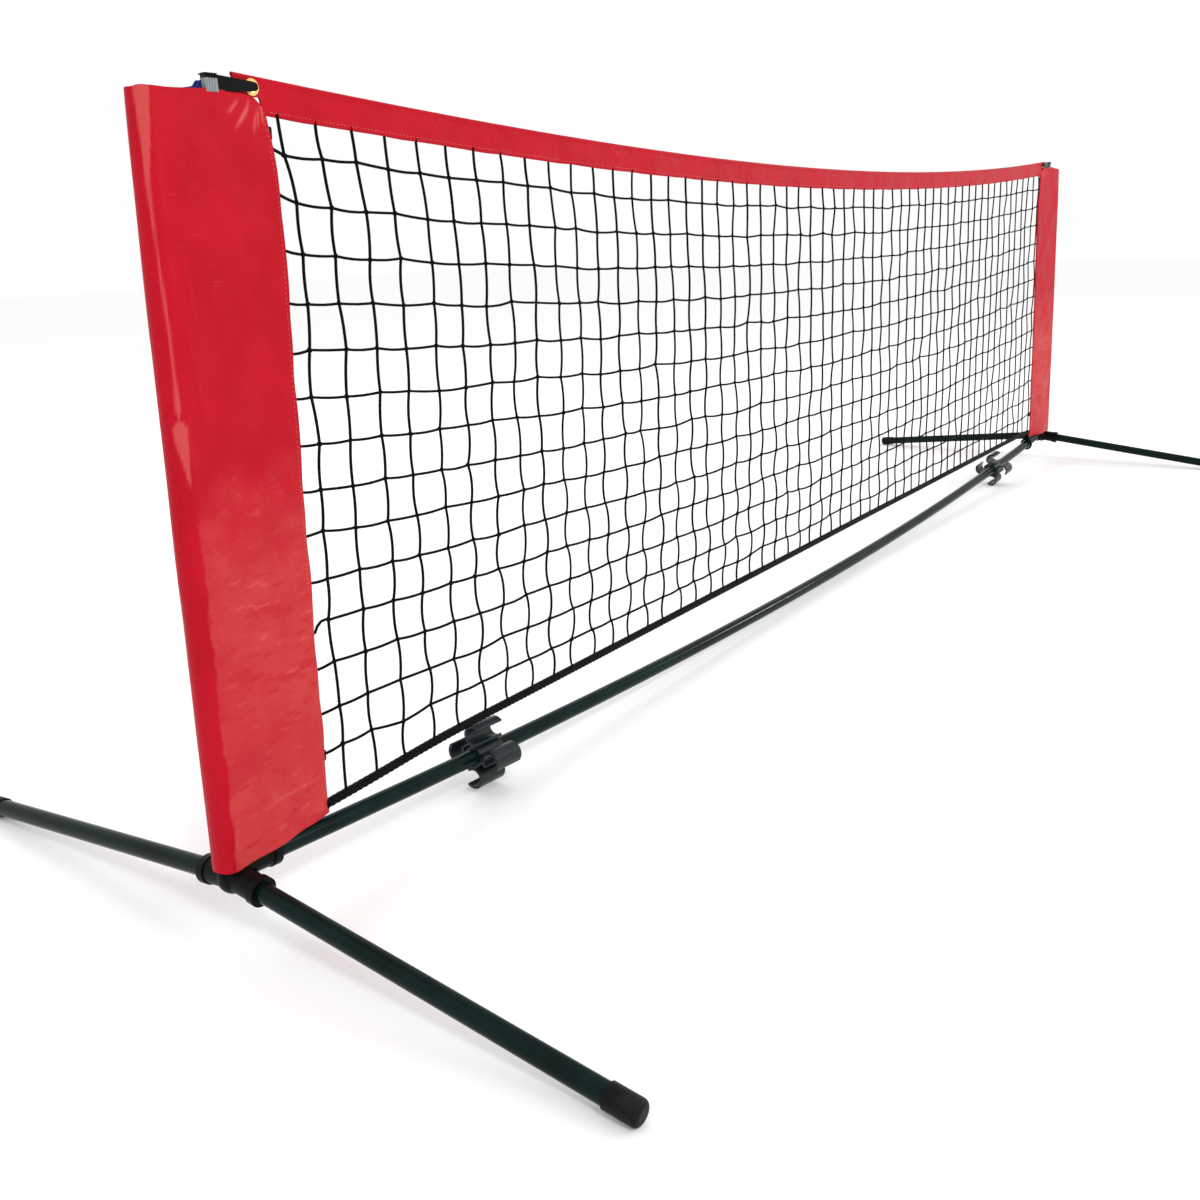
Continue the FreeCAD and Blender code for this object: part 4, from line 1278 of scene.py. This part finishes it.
for side_name, side in (("left", -1), ("right", 1)):
    name = "webbing_" + side_name
    strap = new_object(name, strap_mesh(name, side, 1.3 + side))
    strap.data.materials.append(BLUE_WEBBING)
    thicken(strap, 1.3 * MM)
    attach(strap, "frame")
    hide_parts("strap_" + side_name)
print("webbing faces:", len(strap.data.polygons))

# %% [markdown]
# A short black tape closes each sleeve's edge round the mesh, once near the top and once low down.  It
# is a folded tab of narrow tape, so a small strip with rounded corners and a curled end is enough.

# %% The ties
def tie_mesh(name, low, high, side):
    """Tape tab that laps from behind the sleeve's edge on to the mesh."""
    edge = sleeve_edge((low.z + high.z) / 2)
    near, far = sorted((side * (edge + 5 * MM), side * (edge - 4.5 * MM)))
    low, high = Vector((near, low.y, low.z)), Vector((far, high.y, high.z))
    rows, columns = 14, 12
    points = np.zeros((rows, columns, 3))
    middle = (low + high) / 2
    for r in range(rows):
        v = r / (rows - 1)
        for c in range(columns):
            u = c / (columns - 1)
            trim = 0.9 * MM * (abs(2 * v - 1) ** 8)
            x = low.x + trim + (high.x - low.x - 2 * trim) * u
            curl = 0.9 * MM * (abs(2 * u - 1) ** 3) + 0.4 * MM * math.sin(6 * v)
            points[r, c] = (x, middle.y + curl * 0.5, low.z + (high.z - low.z) * v)
    uv = points[..., [0, 2]].copy()
    return grid_mesh(name, points, uv)


for where in ("upper", "lower"):
    for side_name, side in (("left", -1), ("right", 1)):
        node = "tie_%s_%s" % (where, side_name)
        tape = new_object("tape_%s_%s" % (where, side_name), tie_mesh("tape", *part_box(node), side))
        tape.data.materials.append(TIE_TAPE)
        thicken(tape, 1.4 * MM)
        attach(tape, "frame")
        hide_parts(node)
print("ties made")

# %% [markdown]
# Stitches close the headband's lower edge and each sleeve's inner edge.  There are hundreds, all alike,
# so a geometry node tree walks along a guide line, sets one short thread on it every few millimetres
# and turns each to follow the line.  A small random tilt keeps the row from looking printed.

# %% Stitch rows
def stitch_tree():
    tree, source, sink = geometry_tree("stitch_row", [
        ("Pitch", "Float", 5 * MM), ("Length", "Float", 3 * MM), ("Thread radius", "Float", 0.35 * MM),
        ("Seed", "Int", 2), ("Material", "Material", None)])
    curve = tree.nodes.new("GeometryNodeMeshToCurve")
    sample = add(tree, "GeometryNodeResampleCurve", mode="LENGTH")
    points = add(tree, "GeometryNodeCurveToPoints", mode="EVALUATED")
    thread = tree.nodes.new("GeometryNodeMeshIcoSphere")
    thread.inputs["Subdivisions"].default_value = 1
    size = tree.nodes.new("ShaderNodeCombineXYZ")
    tilt = add(tree, "FunctionNodeRandomValue", data_type="FLOAT_VECTOR")
    tilt.inputs[0].default_value = (-0.12, -0.12, -0.12)
    tilt.inputs[1].default_value = (0.12, 0.12, 0.12)
    turn = tree.nodes.new("FunctionNodeRotateRotation")
    place = tree.nodes.new("GeometryNodeInstanceOnPoints")
    half = math_node(tree, "MULTIPLY", source.outputs["Length"], 0.5)
    thread.inputs["Radius"].default_value = 1.0
    link(tree, (source.outputs["Geometry"], curve.inputs["Mesh"]),
         (curve.outputs["Curve"], sample.inputs["Curve"]),
         (source.outputs["Pitch"], sample.inputs["Length"]),
         (sample.outputs["Curve"], points.inputs["Curve"]),
         (source.outputs["Thread radius"], size.inputs["X"]),
         (source.outputs["Thread radius"], size.inputs["Y"]),
         (half, size.inputs["Z"]),
         (source.outputs["Seed"], tilt.inputs["Seed"]),
         (points.outputs["Rotation"], turn.inputs["Rotation"]),
         (tilt.outputs["Value"], turn.inputs["Rotate By"]),
         (points.outputs["Points"], place.inputs["Points"]),
         (thread.outputs["Mesh"], place.inputs["Instance"]),
         (turn.outputs["Rotation"], place.inputs["Rotation"]),
         (size.outputs["Vector"], place.inputs["Scale"]))
    return close_tree(tree, source, sink, place.outputs["Instances"])


def surface_line(piece, starts, way):
    """Where straight probes from each start meet a piece, lifted a hair off its cloth."""
    found = []
    for start in starts:
        hit, place, _, _ = piece.ray_cast(Vector(start), Vector(way), distance=0.1)
        if hit:
            found.append(np.array(place) - np.array(way) * 0.15 * MM)
    return found


stitch_guides = []
for way in (1, -1):
    x = np.linspace(-TAB_X + 6 * MM, TAB_X - 6 * MM, 700)
    starts = [(v, -way * 0.05, band_bottom(v) + 4.5 * MM) for v in x]
    stitch_guides.append(surface_line(headband, starts, (0, way, 0)))
for side_name, side in (("left", -1), ("right", 1)):
    cloth = bpy.data.objects["sleeve_cloth_" + side_name]
    for way in (1, -1):
        heights = np.linspace(HEM_Z + 6 * MM, RIM_Z - 6 * MM, 260)
        starts = [(side * (sleeve_edge(z) + 5 * MM), -way * 0.08, z) for z in heights]
        stitch_guides.append(surface_line(cloth, starts, (0, way, 0)))
stitches = new_object("stitches", line_mesh("stitch_guides", stitch_guides))
run_tree(stitches, stitch_tree(), {"Pitch": 5.5 * MM, "Length": 3.6 * MM, "Thread radius": 0.38 * MM,
                                   "Material": STITCH_THREAD})
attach(stitches, "frame")
print("stitch faces:", len(stitches.data.polygons))

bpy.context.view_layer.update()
